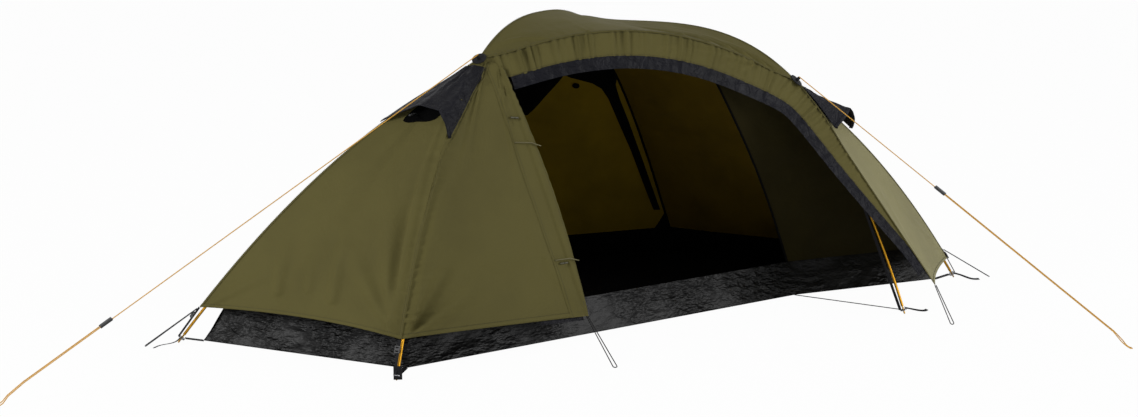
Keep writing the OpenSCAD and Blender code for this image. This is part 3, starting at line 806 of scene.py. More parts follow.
@dataclass(frozen=True)
class HardFinish(Finish):
    """What hard finishes share: a grain that varies the shine and, between two colours, the shade."""

    colour: str = "#161617"
    dark: str = ""  # the grain's second colour, where it has one
    roughness: float = 0.45
    uneven: tuple[float, float] = (0.05, 0.1)  # how far the roughness falls and rises
    grain_mm: float = 0.8
    detail: float = 2.0
    relief: float = 0.2
    relief_mm: float = 0.2
    shader_values: tuple[tuple[str, float], ...] = (("IOR", 1.53),)

    def make(self) -> bpy.types.Material:
        """Build the material.

        Returns:
            The material.
        """
        material, tree, shader, solid, _ = self.start()
        grain = noise(tree, self.grain_mm, solid, self.detail)
        base = blend(tree, self.dark, self.colour, grain) if self.dark else linear(self.colour)
        gloss = ranged(tree, grain, 0, 1, self.roughness - self.uneven[0], self.roughness + self.uneven[1])
        relief = bump(tree, self.relief, self.relief_mm / 1000, grain)
        looks = {"Base Color": base, "Roughness": gloss, "Normal": relief}
        settle(tree, shader, {**looks, **dict(self.shader_values)})
        return material


@dataclass(frozen=True)
class AnodisedAluminium(HardFinish):
    """Gold anodised drawn aluminium tube: satin metal, a little uneven in colour."""

    colour: str = "#cf9a2c"
    dark: str = "#b98524"
    roughness: float = 0.34
    uneven: tuple[float, float] = (0.06, 0.08)
    grain_mm: float = 16.667
    detail: float = 4.0
    relief: float = 0.08
    relief_mm: float = 0.4
    shader_values: tuple[tuple[str, float], ...] = METAL


@dataclass(frozen=True)
class PlatedSteel(HardFinish):
    """Zinc-plated steel: a grey metal with a cloudy, slightly scratched shine."""

    colour: str = "#8c8d90"
    roughness: float = 0.38
    uneven: tuple[float, float] = (0.1, 0.12)
    grain_mm: float = 4.1667
    detail: float = 3.0
    relief: float = 0.1
    relief_mm: float = 0.3
    shader_values: tuple[tuple[str, float], ...] = METAL


@dataclass(frozen=True)
class MouldedNylon(HardFinish):
    """Injection-moulded nylon: fine mould grain and a soft shine."""


@dataclass(frozen=True)
class SewingThread(HardFinish):
    """Spun polyester thread: dull, and darker than the cloth it sews, partly as painted shade for the shadow
    in the seams' gathers.
    """

    # Dark enough that its rows also paint the shade in the seams' gathers.
    colour: str = "#2a2714"
    roughness: float = 0.7


@dataclass
class Wardrobe:
    """Makes each finish of the tent once."""

    made: dict[str, bpy.types.Material] = field(default_factory=dict)

    def get(self, finish: Finish) -> bpy.types.Material:
        """The material for a finish, made on first use.

        Args:
            finish: The finish.

        Returns:
            Its material.
        """
        if finish.name not in self.made:
            self.made[finish.name] = finish.make()
        return self.made[finish.name]


# The olive flysheet. Its foot end is the same cloth painted a shade paler than the rest: painted light, for
# the light from behind on the right that shines through the thin cloth there.
FLY = CoatedTaffeta("coated_taffeta_olive", "fly")
FLY_END_PAINTED_LIGHT = CoatedTaffeta("coated_taffeta_olive_painted_light", "fly", colour="#86815f", deep="#797457")
# The navy edge and hoods: a glossier coat on a cloth that creases more finely.
TRIM = CoatedTaffeta(
    "coated_taffeta_navy", "trim", colour="#0d0d14", deep="#060609",
    roughness=0.5, specular=0.13, crease_mm=36.0, creased=0.7,
)
# The inner tent: the same weave without a coat, so it is dull. Its three colours are one cloth painted at
# three levels of light: the brown one is painted light shining through it from behind, the umber one painted
# half shade and the dark one painted shade.
INNER = CoatedTaffeta(
    "breathable_nylon_painted_backlit", "inner", colour="#7c650c", deep="#5f4e08", roughness=0.75, specular=0.1
)
INNER_PAINTED_HALF_SHADE = CoatedTaffeta(
    "breathable_nylon_painted_half_shade", "inner", colour="#64500e", deep="#4a3a0a", roughness=0.75, specular=0.1
)
INNER_PAINTED_SHADE = CoatedTaffeta(
    "breathable_nylon_painted_shade", "inner", colour="#221d06", deep="#171303", roughness=0.75, specular=0.08
)
MESH = CoatedTaffeta(
    "fine_polyester_mesh", "mesh", colour="#060606", deep="#030303",
    roughness=0.9, specular=0.05, thread_mm=3.158, weave=0.5,
)
FLOOR = Tarpaulin("woven_tape_tarpaulin", "groundsheet")
# A darker, dull copy of the floor cloth, laid just inside the bathtub as painted shade where the tent's
# inside lies in shadow.
SHADE_TARPAULIN = Tarpaulin(
    "painted_shade_tarpaulin", "groundsheet", colour="#050505", pale="#080808", roughness=0.9, specular=0.04
)
THREAD = SewingThread("polyester_sewing_thread", "fly")
STRAP = Webbing("polypropylene_webbing", "webbing")
SHOCK = BraidedCord("elastic_shock_cord", "elastic", colour="#101012", dark="#060607")
ELASTIC = BraidedCord("olive_elastic_cord", "elastic", colour="#6b6540", dark="#4a4528")
GUY = BraidedCord("braided_guy_cord", "guy")
GOLD = AnodisedAluminium("anodised_aluminium_gold", "pole_tube")
GOLD_FERRULE = AnodisedAluminium(
    "anodised_aluminium_ferrule", "ferrule", colour="#c28f2a", dark="#ab7a20", roughness=0.3
)
GOLD_TIP = AnodisedAluminium(
    "anodised_aluminium_tip", "tip", colour="#c9a050", dark="#b08838", roughness=0.3
)
STEEL = PlatedSteel("zinc_plated_steel", "ring")
SLIDER = PlatedSteel("blackened_zinc_slider", "slider", colour="#2a2a2c", roughness=0.35)
NYLON = MouldedNylon("moulded_black_nylon", "plastic")
TOGGLE_NYLON = MouldedNylon("moulded_olive_nylon", "plastic", colour="#3d3a20")


# ---- Meshes ----
def mesh_of(
    name: str, verts: Points, faces: Sequence[Sequence[int]], uvs: Points | None = None, smooth: bool = True
) -> bpy.types.Object:
    """Build a mesh object with bmesh.

    Args:
        name: The object's name.
        verts: Vertex places in metres.
        faces: Vertex numbers of each face.
        uvs: One texture place per vertex, in metres of cloth, or None.
        smooth: Whether the faces shade smoothly.

    Returns:
        The new object, linked into the scene.
    """
    bm = bmesh.new()
    made = [bm.verts.new(v) for v in verts]
    layer = bm.loops.layers.uv.new("UVMap")
    for f in faces:
        face = bm.faces.new([made[k] for k in f])
        face.smooth = smooth
        if uvs is not None:
            for loop, k in zip(face.loops, f):
                loop[layer].uv = (float(uvs[k][0]), float(uvs[k][1]))
    mesh = bpy.data.meshes.new(name)
    bm.to_mesh(mesh)
    bm.free()
    obj = bpy.data.objects.new(name, mesh)
    bpy.context.scene.collection.objects.link(obj)
    return obj


def grid_faces(rows: int, cols: int, closed: bool = False) -> list[tuple[int, int, int, int]]:
    """Quads of a grid of vertices numbered row by row.

    Args:
        rows: Number of rows.
        cols: Number of columns.
        closed: Whether the last column joins the first.

    Returns:
        The faces, wound so that they face outward.
    """
    last = cols if closed else cols - 1
    return [
        (i * cols + j, i * cols + (j + 1) % cols, (i + 1) * cols + (j + 1) % cols, (i + 1) * cols + j)
        for i in range(rows - 1)
        for j in range(last)
    ]


def cloth_uv(grid: Points) -> Points:
    """Lay a grid's points out flat.

    Args:
        grid: Points whose rows go up.

    Returns:
        One place for each point, in metres of cloth.
    """
    up = np.r_[0, np.cumsum(np.linalg.norm(np.diff(grid, axis=0), axis=2).mean(axis=1))]
    along = np.r_[0, np.cumsum(np.linalg.norm(np.diff(grid, axis=1), axis=2).mean(axis=0))]
    v, u = np.meshgrid(up, along, indexing="ij")
    return np.stack([u.ravel(), v.ravel()], axis=1)


def area_of(grid: Points) -> float:
    """Area of a grid of points in square metres."""
    a, b, c, d = grid[:-1, :-1], grid[:-1, 1:], grid[1:, 1:], grid[1:, :-1]
    return float(0.5 * np.linalg.norm(np.cross(c - a, d - b), axis=-1).sum())


def sample(grid: Points, across: Points | float, up: Points | float) -> Points:
    """Points on a grid at shares of its columns and rows.

    Args:
        grid: The grid's points.
        across: Shares of the way from the first column to the last.
        up: Shares of the way from the first row to the last.

    Returns:
        One point for each pair of shares.
    """
    rows, cols = grid.shape[:2]
    across, up = np.broadcast_arrays(np.asarray(across, float), np.asarray(up, float))
    x, y = np.clip(across, 0, 1) * (cols - 1), np.clip(up, 0, 1) * (rows - 1)
    j, i = np.minimum(x.astype(int), cols - 2), np.minimum(y.astype(int), rows - 2)
    fx, fy = (x - j)[..., None], (y - i)[..., None]
    low = mix(grid[i, j], grid[i, j + 1], fx)
    return mix(low, mix(grid[i + 1, j], grid[i + 1, j + 1], fx), fy)


def patch(grid: Points, left: Points, right: Points, up: Points, lift: float, steps: int = 24) -> Points:
    """A piece of cloth laid on a grid between two lines.

    Args:
        grid: The cloth it lies on.
        left: Share across of its first edge at each height.
        right: Share across of its other edge at each height.
        up: The heights, as shares of the grid's rows.
        lift: How far it stands off the cloth, outward, in metres.
        steps: How many steps to make across it.

    Returns:
        The patch's points.
    """
    rows = 40
    fine = np.linspace(up[0], up[-1], rows)
    a, b = np.interp(fine, up, left), np.interp(fine, up, right)
    across = mix(a[:, None], b[:, None], np.linspace(0, 1, steps + 1)[None])
    high = np.broadcast_to(fine[:, None], across.shape)
    return sample(grid, across, high) + lift * sample(normals_of(grid), across, high)


class Held(Enum):
    """How a sheet is held."""

    STRETCHED = "stretched"
    GATHERED = "gathered"
    HUNG = "hung"
    LAID = "laid"


@dataclass
class Maker:
    """Places finished pieces in the frame."""

    frame: dict[str, object]
    wardrobe: Wardrobe = field(default_factory=Wardrobe)
    stitch: float = 0.0055  # from stitch to stitch, drawn longer than the real 3 mm so that it shows
    thread: float = 0.0007
    least_filled: float = 0.35  # share of its flat size that a tapering panel fills at the least
    trimmed: float = 1.005  # a flat size is this much more than the cloth's own area at the least

    def dress(
        self, obj: bpy.types.Object, finish: Finish, body: str = TENT, replaces: Sequence[str] = ()
    ) -> None:
        """Give a piece its finish, its body and the CAD nodes it stands for.

        Args:
            obj: The piece.
            finish: Its finish.
            body: The body it moves with.
            replaces: CAD nodes that it hides.
        """
        obj.data.materials.clear()
        obj.data.materials.append(self.wardrobe.get(finish))
        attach(obj, body)
        if replaces:
            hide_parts(*replaces)
        log.info("%s: %s on %s", obj.name, finish.name, body)

    def cad(self, node: str, finish: Finish) -> None:
        """Give a CAD node a better material.

        Args:
            node: The node's name.
            finish: Its finish.
        """
        obj = self.frame["nodes"][node]
        obj.data.materials.clear()
        obj.data.materials.append(self.wardrobe.get(finish))
        log.info("%s: %s", node, finish.name)

    def sheet(
        self,
        name: str,
        grid: Points,
        finish: Finish,
        replaces: Sequence[str] = (),
        rests_on: Sequence[str] = (),
        held: Held = Held.STRETCHED,
    ) -> bpy.types.Object:
        """Make a sheet of cloth from a grid of points.

        Args:
            name: The piece's name.
            grid: Its points, rows going up.
            finish: Its finish.
            replaces: CAD nodes that it hides.
            rests_on: What it hangs from; not used.
            held: How it is held; not used.

        Returns:
            The cloth.
        """
        rows, cols = grid.shape[:2]
        obj = mesh_of(name, grid.reshape(-1, 3), grid_faces(rows, cols), cloth_uv(grid))
        self.dress(obj, finish, replaces=replaces)
        area = area_of(grid)
        tall = max(length_of(grid[:, j]) for j in (0, cols // 2, cols - 1))
        wide = max(length_of(grid[i]) for i in (0, rows // 2, rows - 1))
        wide = min(wide, area / self.least_filled / tall)
        wide = max(wide, area / tall * self.trimmed)
        return obj

    def tube(
        self,
        name: str,
        path: Points,
        radius: float,
        finish: Finish,
        replaces: Sequence[str] = (),
        sides: int = 4,
    ) -> bpy.types.Object:
        """Make a round cord or tube along a path as a curve of one open spline.

        Args:
            name: The piece's name.
            path: Its centreline.
            radius: Its radius in metres.
            finish: Its finish.
            replaces: CAD nodes that it hides.
            sides: Bevel resolution.

        Returns:
            The curve object.
        """
        curve = bpy.data.curves.new(name, "CURVE")
        curve.dimensions = "3D"
        curve.bevel_depth = radius
        curve.bevel_resolution = sides
        curve.use_fill_caps = True
        line = curve.splines.new("POLY")
        line.points.add(len(path) - 1)
        for point, p in zip(line.points, path):
            point.co = (*[float(x) for x in p], 1.0)
        line.use_smooth = True
        obj = bpy.data.objects.new(name, curve)
        bpy.context.scene.collection.objects.link(obj)
        self.dress(obj, finish, replaces=replaces)
        return obj

    def band(
        self,
        name: str,
        path: Points,
        side: Points,
        width: float,
        thick: float,
        finish: Finish,
        replaces: Sequence[str] = (),
    ) -> bpy.types.Object:
        """Make a flat band of webbing or tape with rounded edges along a path.

        Args:
            name: The piece's name.
            path: Its middle line.
            side: Direction across its width, one for all points or one each.
            width: Its width in metres.
            thick: Its thickness in metres.
            finish: Its finish.
            replaces: CAD nodes that it hides.

        Returns:
            The band.
        """
        side = np.broadcast_to(side, path.shape)
        along = unit(np.gradient(path, axis=0))
        across = unit(side - (side * along).sum(axis=1, keepdims=True) * along)
        out = np.cross(along, across)
        half = [(-0.5, -0.2), (-0.46, -0.5), (0, -0.5), (0.46, -0.5), (0.5, -0.2)]
        ring = np.array(half + [(-x, -y) for x, y in half])
        verts = (
            path[:, None, :]
            + across[:, None, :] * ring[None, :, 0:1] * width
            + out[:, None, :] * ring[None, :, 1:2] * thick
        )
        n, k = verts.shape[:2]
        steps = np.r_[0, np.cumsum(np.linalg.norm(np.diff(path, axis=0), axis=1))]
        uv = np.stack([np.tile(ring[:, 0] * width, n), np.repeat(steps, k)], axis=1)
        faces = grid_faces(n, k, closed=True)
        faces += [tuple(range(k - 1, -1, -1)), tuple((n - 1) * k + j for j in range(k))]
        obj = mesh_of(name, verts.reshape(-1, 3), faces, uv)
        self.dress(obj, finish, replaces=replaces)
        return obj

    def stitches(self, name: str, path: Points, out: Points, lift: float = 0.0008) -> None:
        """Sew a row of stitches along a line on cloth.

        Args:
            name: The piece's name.
            path: The line.
            out: Direction away from the cloth at each of its points.
            lift: How far above the line the thread lies, in metres.
        """
        count = max(4, int(length_of(path) / self.stitch))
        steps = np.r_[0, np.cumsum(np.linalg.norm(np.diff(path, axis=0), axis=1))]
        at = (np.arange(count) + 0.5) * steps[-1] / count
        middle = np.stack([np.interp(at, steps, path[:, k]) for k in range(3)], axis=1)
        up = unit(np.stack([np.interp(at, steps, out[:, k]) for k in range(3)], axis=1))
        ahead = unit(np.gradient(middle, axis=0))
        side = unit(np.cross(ahead, up))
        middle = middle + up * lift
        long, wide = ahead * self.stitch * 0.36, side * self.thread  # a stitch takes 0.72 of its step
        corners = [middle - long, middle + wide, middle + long, middle - wide, middle + up * self.thread]
        verts = np.stack(corners, axis=1).reshape(-1, 3)
        one = [(0, 3, 2, 1), (0, 1, 4), (1, 2, 4), (2, 3, 4), (3, 0, 4)]
        faces = [tuple(5 * k + v for v in face) for k in range(count) for face in one]
        obj = mesh_of(name, verts, faces, np.zeros((len(verts), 2)), smooth=False)
        self.dress(obj, THREAD)


# ---- Folds in cloth ----
class Edge(Enum):
    """The side edges of a sheet: its first column of points and its last."""

    FIRST = 0
    LAST = 1


@dataclass(frozen=True)
class Pull:
    """A crease that runs through a sheet from one place to another and spreads as it goes.

    Places are shares of the sheet: across from its first edge, then up from its hem.
    Depth and width are in millimetres.
    """

    start: tuple[float, float]
    end: tuple[float, float]
    depth: float
    width: float
    spread: float = 2.0


def with_pulls(grid: Points, pulls: Sequence[Pull]) -> Points:
    """Press creases into a sheet.

    Args:
        grid: The sheet's points, rows going up.
        pulls: The creases.

    Returns:
        The creased sheet. Its edges stay where they are, apart from its hem.
    """
    rim = 0.02  # creases die out over this many metres beside a seam
    rows, cols = grid.shape[:2]
    uv = cloth_uv(grid).reshape(rows, cols, 2)
    size = uv[-1, -1]
    rim_u = np.clip(np.minimum(uv[..., 0], size[0] - uv[..., 0]) / rim, 0, 1)
    rim_v = np.clip((size[1] - uv[..., 1]) / rim, 0, 1)
    move = np.zeros((rows, cols))
    for p in pulls:
        a, b = np.array(p.start) * size, np.array(p.end) * size
        line = b - a
        s = ((uv - a) @ line) / (line @ line)
        off = uv - (a + np.clip(s, 0, 1)[..., None] * line)
        side = (off[..., 0] * line[1] - off[..., 1] * line[0]) / np.linalg.norm(line)
        past = np.maximum(np.maximum(-s, s - 1), 0) * np.linalg.norm(line)
        x = np.hypot(side, past) / (p.width / 1000 * (1 + (p.spread - 1) * np.clip(s, 0, 1)))
        fade = np.clip(1.15 - np.clip(s, 0, 1), 0, 1) ** 0.8  # shallower towards its end
        move += p.depth / 1000 * fade * (1 - 1.2 * x**2) * np.exp(-(x**2))  # a fold with a dip on each side
    return grid + normals_of(grid) * (move * rim_u * rim_v)[..., None]


def with_puckers(
    grid: Points, edge: Edge, depth: float, wave: float, reach: float, seed: int, ends: float = 0.0
) -> Points:
    """Gather a sheet along one of its side edges, as a seam over a pole does.

    Args:
        grid: The sheet's points.
        edge: Which edge.
        depth: Height of the gathers in metres.
        wave: Distance from gather to gather in metres.
        reach: How far the gathers run into the sheet, in metres.
        seed: Picks their pattern.
        ends: How much stronger they are towards the edge's two ends.

    Returns:
        The gathered sheet.
    """
    rows, cols = grid.shape[:2]
    uv = cloth_uv(grid).reshape(rows, cols, 2)
    size = uv[-1, -1]
    run = uv[..., 1]
    into = uv[..., 0] if edge is Edge.FIRST else size[0] - uv[..., 0]
    place = run / size[1]
    near = 0.14  # share of the edge over which its ends are stronger
    strength = 1 + ends * (np.exp(-place / near) + np.exp(-(1 - place) / near))
    uneven_depth = 0.6 + 0.4 * hum(run / wave / 5, seed + 1)
    ripple = np.maximum(hum(run / wave, seed) * uneven_depth, -0.1)  # hardly inward, clear of the pole
    fade = np.exp(-into / reach) * np.clip(into / 0.004, 0.15, 1)  # held by the stitching at the edge itself
    return grid + normals_of(grid) * (depth * strength * ripple * fade)[..., None]


def with_billow(grid: Points, depth: float, size_m: float, seed: int) -> Points:
    """Give a sheet the slow uneven waves of cloth that is not quite tight.

    Args:
        grid: The sheet's points.
        depth: Height of the waves in metres.
        size_m: Their length in metres.
        seed: Picks their pattern.

    Returns:
        The sheet, with its edges where they were.
    """
    edge, waves = 0.08, 9  # metres over which the waves die out beside a seam, and how many are summed
    rng = np.random.default_rng(seed)
    rows, cols = grid.shape[:2]
    uv = cloth_uv(grid).reshape(rows, cols, 2)
    size = uv[-1, -1]
    rim = np.clip(np.minimum(uv[..., 0], size[0] - uv[..., 0]) / edge, 0, 1)
    rim = rim * np.clip(np.minimum(uv[..., 1], size[1] - uv[..., 1]) / edge, 0, 1)
    wave = np.zeros((rows, cols))
    for _ in range(waves):
        k = rng.normal(size=2) * 2 * math.pi / size_m / 1.3
        wave += np.sin(uv @ k + rng.uniform(0, 2 * math.pi))
    return grid + normals_of(grid) * (depth * wave / 3 * rim)[..., None]


# ---- The frame of poles ----
@dataclass
class PoleFrame:
    """Three bows of gold tube with ferrules, tips and eyelet rings."""

    plan: Plan
    maker: Maker
    steps: int = 160

    def build(self) -> None:
        """Sweep each pole and dress its fittings."""
        nodes = {Pole.FRONT: "front_pole", Pole.HEAD: "head_pole", Pole.FOOT: "foot_pole"}
        for pole, node in nodes.items():
            low = self.plan.at_height(pole, self.plan.sizes.tip_len, True)
            path = self.plan.bow(pole, self.plan.places(low, 1 - low, self.steps))
            self.maker.tube(f"{node}_tube", path, self.plan.sizes.pole_d / 2, GOLD, [node], sides=5)
            self.maker.cad(f"{node}_ferrules", GOLD_FERRULE)
        self.maker.cad("pole_tips", GOLD_TIP)
        self.maker.cad("eyelet_rings", STEEL)


# ---- Groundsheet ----
@dataclass
class Groundsheet:
    """Bathtub floor of crinkled tarpaulin, with dull dark sheets inside it as painted shade."""

    plan: Plan
    maker: Maker
    grain: float = 0.014  # from point to point round the floor
    # How far inside the tarpaulin its dark painted-shade sheets lie.
    shade_sheet: float = 0.0015
    low_z: float = 0.001
    wall_rows: int = 11
    wall_waves: int = 26
    wall_crinkle: float = 0.0032
    wall_bulge: float = 0.005
    base_rings: int = 26
    base_waves: int = 30
    base_crinkle: float = 0.0035
    seed: int = 4

    def ring(self, inset: float, z: float) -> Points:
        """Lay points round the floor.

        Args:
            inset: How far inside the floor's outline they lie, in metres.
            z: Their height in metres.

        Returns:
            The points, of which the last is also the first.
        """
        p = self.plan.inset(inset)
        p = np.vstack([p, p[:1]])
        out = []
        for a, b in zip(p[:-1], p[1:]):
            steps = max(2, int(round(np.linalg.norm(b - a) / self.grain)))
            out.append(mix(a, b, np.linspace(0, 1, steps, endpoint=False)[:, None]))
        flat = np.vstack([*out, p[:1]])
        return np.column_stack([flat, np.full(len(flat), z)])

    def build(self) -> None:
        """Make the floor's wall, then its base, from one row of draws."""
        rng = np.random.default_rng(self.seed)
        self.wall(rng)
        self.base(rng)

    def wall(self, rng: np.random.Generator) -> None:
        """Make the wall, which leans in and bulges out, and a dark sheet inside it that is painted shade.

        Args:
            rng: Draws the crinkles.
        """
        s = self.plan.sizes
        low, high = self.ring(0, self.low_z), self.ring(s.wall_lean, s.floor_t + s.wall_h)
        n = min(len(low), len(high))
        low, high = resample_ring(low, n), resample_ring(high, n)
        up = np.linspace(0, 1, self.wall_rows)[:, None]
        wall = mix(low[None], high[None], up[..., None])
        run = np.r_[0, np.cumsum(np.linalg.norm(np.diff(low, axis=0), axis=1))][None]
        crinkle = np.zeros(wall.shape[:2])
        for _ in range(self.wall_waves):
            along, upward = rng.normal(0, 26), rng.normal(0, 30)
            crinkle += np.sin(run * along + up * 0.1 * upward + rng.uniform(0, 6.28)) / 5
        bulge = np.sin(np.pi * up) * (0.6 + 0.4 * np.sin(run * 9))
        held = np.sin(np.pi * np.clip(up, 0.06, 0.94))
        shape = crinkle * self.wall_crinkle * held + self.wall_bulge * bulge
        wall = wall - normals_of(wall) * shape[..., None]
        wall[..., 2] = np.maximum(wall[..., 2], 0.0006)
        self.maker.sheet("bathtub_wall", wall[:, ::-1], FLOOR, ["floor_wall"], ["floor_base"])
        # A dark sheet just inside the wall: painted shade.
        shade_sheet = wall - normals_of(wall) * np.array([1, 1, 0.2]) * self.shade_sheet
        shade_sheet[..., 2] = np.maximum(shade_sheet[..., 2], 0.003)
        self.maker.sheet("bathtub_painted_shade", shade_sheet, SHADE_TARPAULIN, rests_on=["bathtub_wall"])

    def base(self, rng: np.random.Generator) -> None:
        """Make the base, which is crumpled all over but flat where it meets the wall, and a dark sheet on it
        that is painted shade.

        Args:
            rng: Draws the crumples.
        """
        centre = self.plan.floor_corners.mean(axis=0)
        outer = self.ring(0.0, self.low_z)
        shares = np.linspace(1, 0.02, self.base_rings)
        base = np.repeat(outer[None], self.base_rings, axis=0)
        base[..., :2] = centre + (base[..., :2] - centre) * shares[:, None, None]
        height = np.zeros(base.shape[:2])
        for _ in range(self.base_waves):
            k = rng.normal(0, 22, 2)
            height += np.sin(base[..., :2] @ k + rng.uniform(0, 6.28))
        flat = np.clip((1 - shares) * 8, 0, 1)[:, None]
        base[..., 2] += self.base_crinkle * np.clip(height / 5 + 0.5, 0, 2) * flat
        self.maker.sheet("floor_base", base[:, ::-1], FLOOR, ["floor_sheet"], held=Held.LAID)
        # A dark sheet just above the base: painted shade.
        inside = base.copy()
        inside[..., 2] += self.shade_sheet + 0.001
        self.maker.sheet("floor_painted_shade", inside[:, ::-1], SHADE_TARPAULIN, rests_on=["floor_base"], held=Held.LAID)


def resample_ring(ring: Points, count: int) -> Points:
    """Give a closed ring a set number of points.

    Args:
        ring: The ring's points.
        count: How many points to return.

    Returns:
        The new points, spread as the old ones are.
    """
    t = np.linspace(0, len(ring) - 1, count)
    k = np.arange(len(ring))
    return np.stack([np.interp(t, k, ring[:, i]) for i in range(3)], axis=1)


# ---- Flysheet ----
@dataclass
class Flysheet:
    """Outer tent: taffeta panels over the poles, a gathered brow with a navy edge, and half a door."""

    plan: Plan
    maker: Maker
    rows: int = 120
    cols: int = 84
    roof_cols: int = 44
    ridge_points: int = 60
    foot_hem_share: float = 0.68  # the foot end's rear corner hangs this share of hem_z above the ground
    seam_tape: float = 0.011
    hem_w: float = 0.016
    seam_share: tuple[tuple[float, ...], tuple[float, ...]] = (
        (0, 0.38, 0.6, 0.68, 0.85, 1),
        (0, 0, 0.02, 0.071, 0.2, 0.42),
    )
    # The door's flap: distances in from the door's edge, each with its height off the cloth.
    flap: tuple[tuple[float, float], ...] = (
        (0.058, 0.0011), (0.05, 0.0014), (0.036, 0.0012), (0.022, 0.0012), (0.013, 0.0013), (0.009, 0.0018),
        (0.0065, 0.0036), (0.0042, 0.0062), (0.0018, 0.0079),
    )
    flap_top: float = 0.985
    flap_rows: int = 70
    flap_bow: float = 0.026
    flap_high: float = 0.0084
    facing: tuple[float, float, float] = (0.74, 0.985, 0.06)  # its two sides and its top, as shares
    facing_drop: float = 0.012
    ties: tuple[tuple[str, float], ...] = (("upper", 0.69), ("lower", 0.235))
    head_pulls: tuple[Pull, ...] = (
        Pull((0.985, 0.0), (0.72, 0.42), 14, 13, 2.6),
        Pull((0.98, 0.02), (0.84, 0.5), -10, 11, 2.6),
        Pull((0.985, 0.0), (0.6, 0.24), 12, 12, 2.6),
        Pull((0.97, 0.0), (0.92, 0.55), 10, 10, 2.4),
        Pull((0.02, 0.0), (0.3, 0.2), 6, 12, 3),
        Pull((0.33, 0.07), (0.2, 0.25), 8, 13, 1.5),
        Pull((0.62, 0.07), (0.52, 0.3), 8, 14, 1.5),
        Pull((0.48, 0.09), (0.4, 0.2), 5, 12, 1.4),
    )
    head_ridge: Pull = Pull((0.975, 0.04), (0.86, 0.7), 13, 16, 1.2)
    door_pulls: tuple[Pull, ...] = (
        Pull((0.015, 0.0), (0.12, 0.55), 13, 12, 2.6),
        Pull((0.02, 0.0), (0.3, 0.3), -10, 12, 2.6),
        Pull((0.02, 0.0), (0.42, 0.16), 12, 12, 2.6),
        Pull((0.02, 0.0), (0.2, 0.42), 9, 11, 2.6),
        Pull((0.97, 0.02), (0.8, 0.4), 6, 12, 3),
        Pull((0.3, 0.98), (0.24, 0.5), 5, 9, 2.5),
        Pull((0.86, 0.99), (0.83, 0.6), -5, 8, 2),
        Pull((0.76, 0.96), (0.8, 0.5), 5, 9, 2),
    )
    foot_pulls: tuple[Pull, ...] = (Pull((0, 0), (0.4, 0.5), 3, 10, 3), Pull((1, 0), (0.6, 0.4), 3, 10, 3))
    rear_pulls: tuple[Pull, ...] = (Pull((0, 0), (0.35, 0.5), 4, 12, 3), Pull((1, 0), (0.65, 0.5), 4, 12, 3))
    side_pulls: tuple[Pull, ...] = (Pull((0, 0), (0.4, 0.4), 4, 14, 3), Pull((1, 0), (0.6, 0.4), 4, 12, 3))
    roof_folds: tuple[float, ...] = (0.2, 0.62, 0.7, 0.77, 0.83, 0.89, 0.94)
    brow_folds: tuple[tuple[float, float], ...] = (
        (0.95, 0.46), (0.95, 0.42), (0.9, 0.375), (0.8, 0.33), (0.6, 0.3),
    )
    brow_points: int = 12  # points of the brow's line on each of its two lengths
    brow_from: float = 0.004
    edging_from: float = 0.07
    brow_middle: tuple[float, float, float] = (0.058, -0.59, 0.427)
    brow_fine: int = 14
    smooth_reach: int = 42
    smooth_width: float = 19.0
    smooth_ends: int = 46
    parts: dict[str, Points] = field(default_factory=dict)

    def __post_init__(self) -> None:
        """Note the crossings, where the lower pole's seam rises to the upper one's."""
        p = self.plan
        self.lifts = {
            Pole.FRONT: [
                (p.seam(Pole.FRONT, p.t_head), p.seam(Pole.HEAD, p.s_front)),
                (p.seam(Pole.FRONT, p.t_foot), p.seam(Pole.FOOT, p.r_front)),
            ],
            Pole.HEAD: [],
            Pole.FOOT: [(p.seam(Pole.FOOT, p.r_rear), p.seam(Pole.HEAD, p.s_rear))],
        }

    def over(self, pole: Pole, line: Points) -> Points:
        """Raise a seam line to the upper pole's seam where poles cross.

        Args:
            pole: The pole that the seam lies over.
            line: The seam's points.

        Returns:
            The raised points.
        """
        out = line.copy()
        for low, high in self.lifts[pole]:
            near = np.exp(-((np.linalg.norm(line - low, axis=1) / 0.07) ** 2))
            out += near[:, None] * (high - low)
        return out

    def line(self, pole: Pole, a: float, b: float, n: int) -> Points:
        """Seam line of the flysheet from a to b along a pole."""
        return self.over(pole, self.plan.seam_line(pole, a, b, n))

    def even_line(self, pole: Pole, a: float, b: float, n: int) -> Points:
        """Seam line with evenly spaced places from a to b along a pole."""
        return self.over(pole, self.plan.seam(pole, np.linspace(a, b, n + 1)))

    def joined(self, *lines: Points) -> Points:
        """Join seam lines and spread their points evenly."""
        path = np.vstack([lines[0], *[line[1:] for line in lines[1:]]])
        return resample(path, self.rows + 1)

    def seams(self) -> dict[str, Points]:
        """Lay out the lines where the panels meet, over the poles.

        Returns:
            The lines' points by name, from the hem up or from the head end on.
        """
        p, rows = self.plan, self.rows
        low = p.at_height(Pole.FRONT, p.sizes.hem_z * self.foot_hem_share, False)
        return {
            "head_end": self.line(Pole.FRONT, p.hem_at(Pole.FRONT, True), p.t_head, rows),
            "head_front": self.line(Pole.HEAD, p.hem_at(Pole.HEAD, True), p.s_front, rows),
            "foot_front": p.foot_edge(rows),
            "foot_end": self.line(Pole.FRONT, low, p.t_foot, rows),
            "head_rear": self.line(Pole.HEAD, p.hem_at(Pole.HEAD, False), p.s_rear, rows),
            "foot_rear": self.line(Pole.FOOT, p.hem_at(Pole.FOOT, False), p.r_rear, rows),
            "head_ridge": self.even_line(Pole.HEAD, p.s_front, p.s_rear, self.ridge_points),
            "foot_ridge": self.even_line(Pole.FOOT, p.r_front, p.r_rear, self.ridge_points),
            "brow": self.even_line(Pole.FRONT, p.t_head, p.t_foot, rows),
        }

    def build(self) -> None:
        """Make every panel, seam and hem."""
        seams = self.seams()
        self.front_panels(seams)
        self.rear_panels(seams)
        self.roof(seams)
        self.brow()
        door = self.parts["door"]
        seams["head_front"] = self.front_seam(door)
        for name, path in seams.items():
            self.tape(f"seam_{name}", path)
        self.placket(door)
        self.hems()

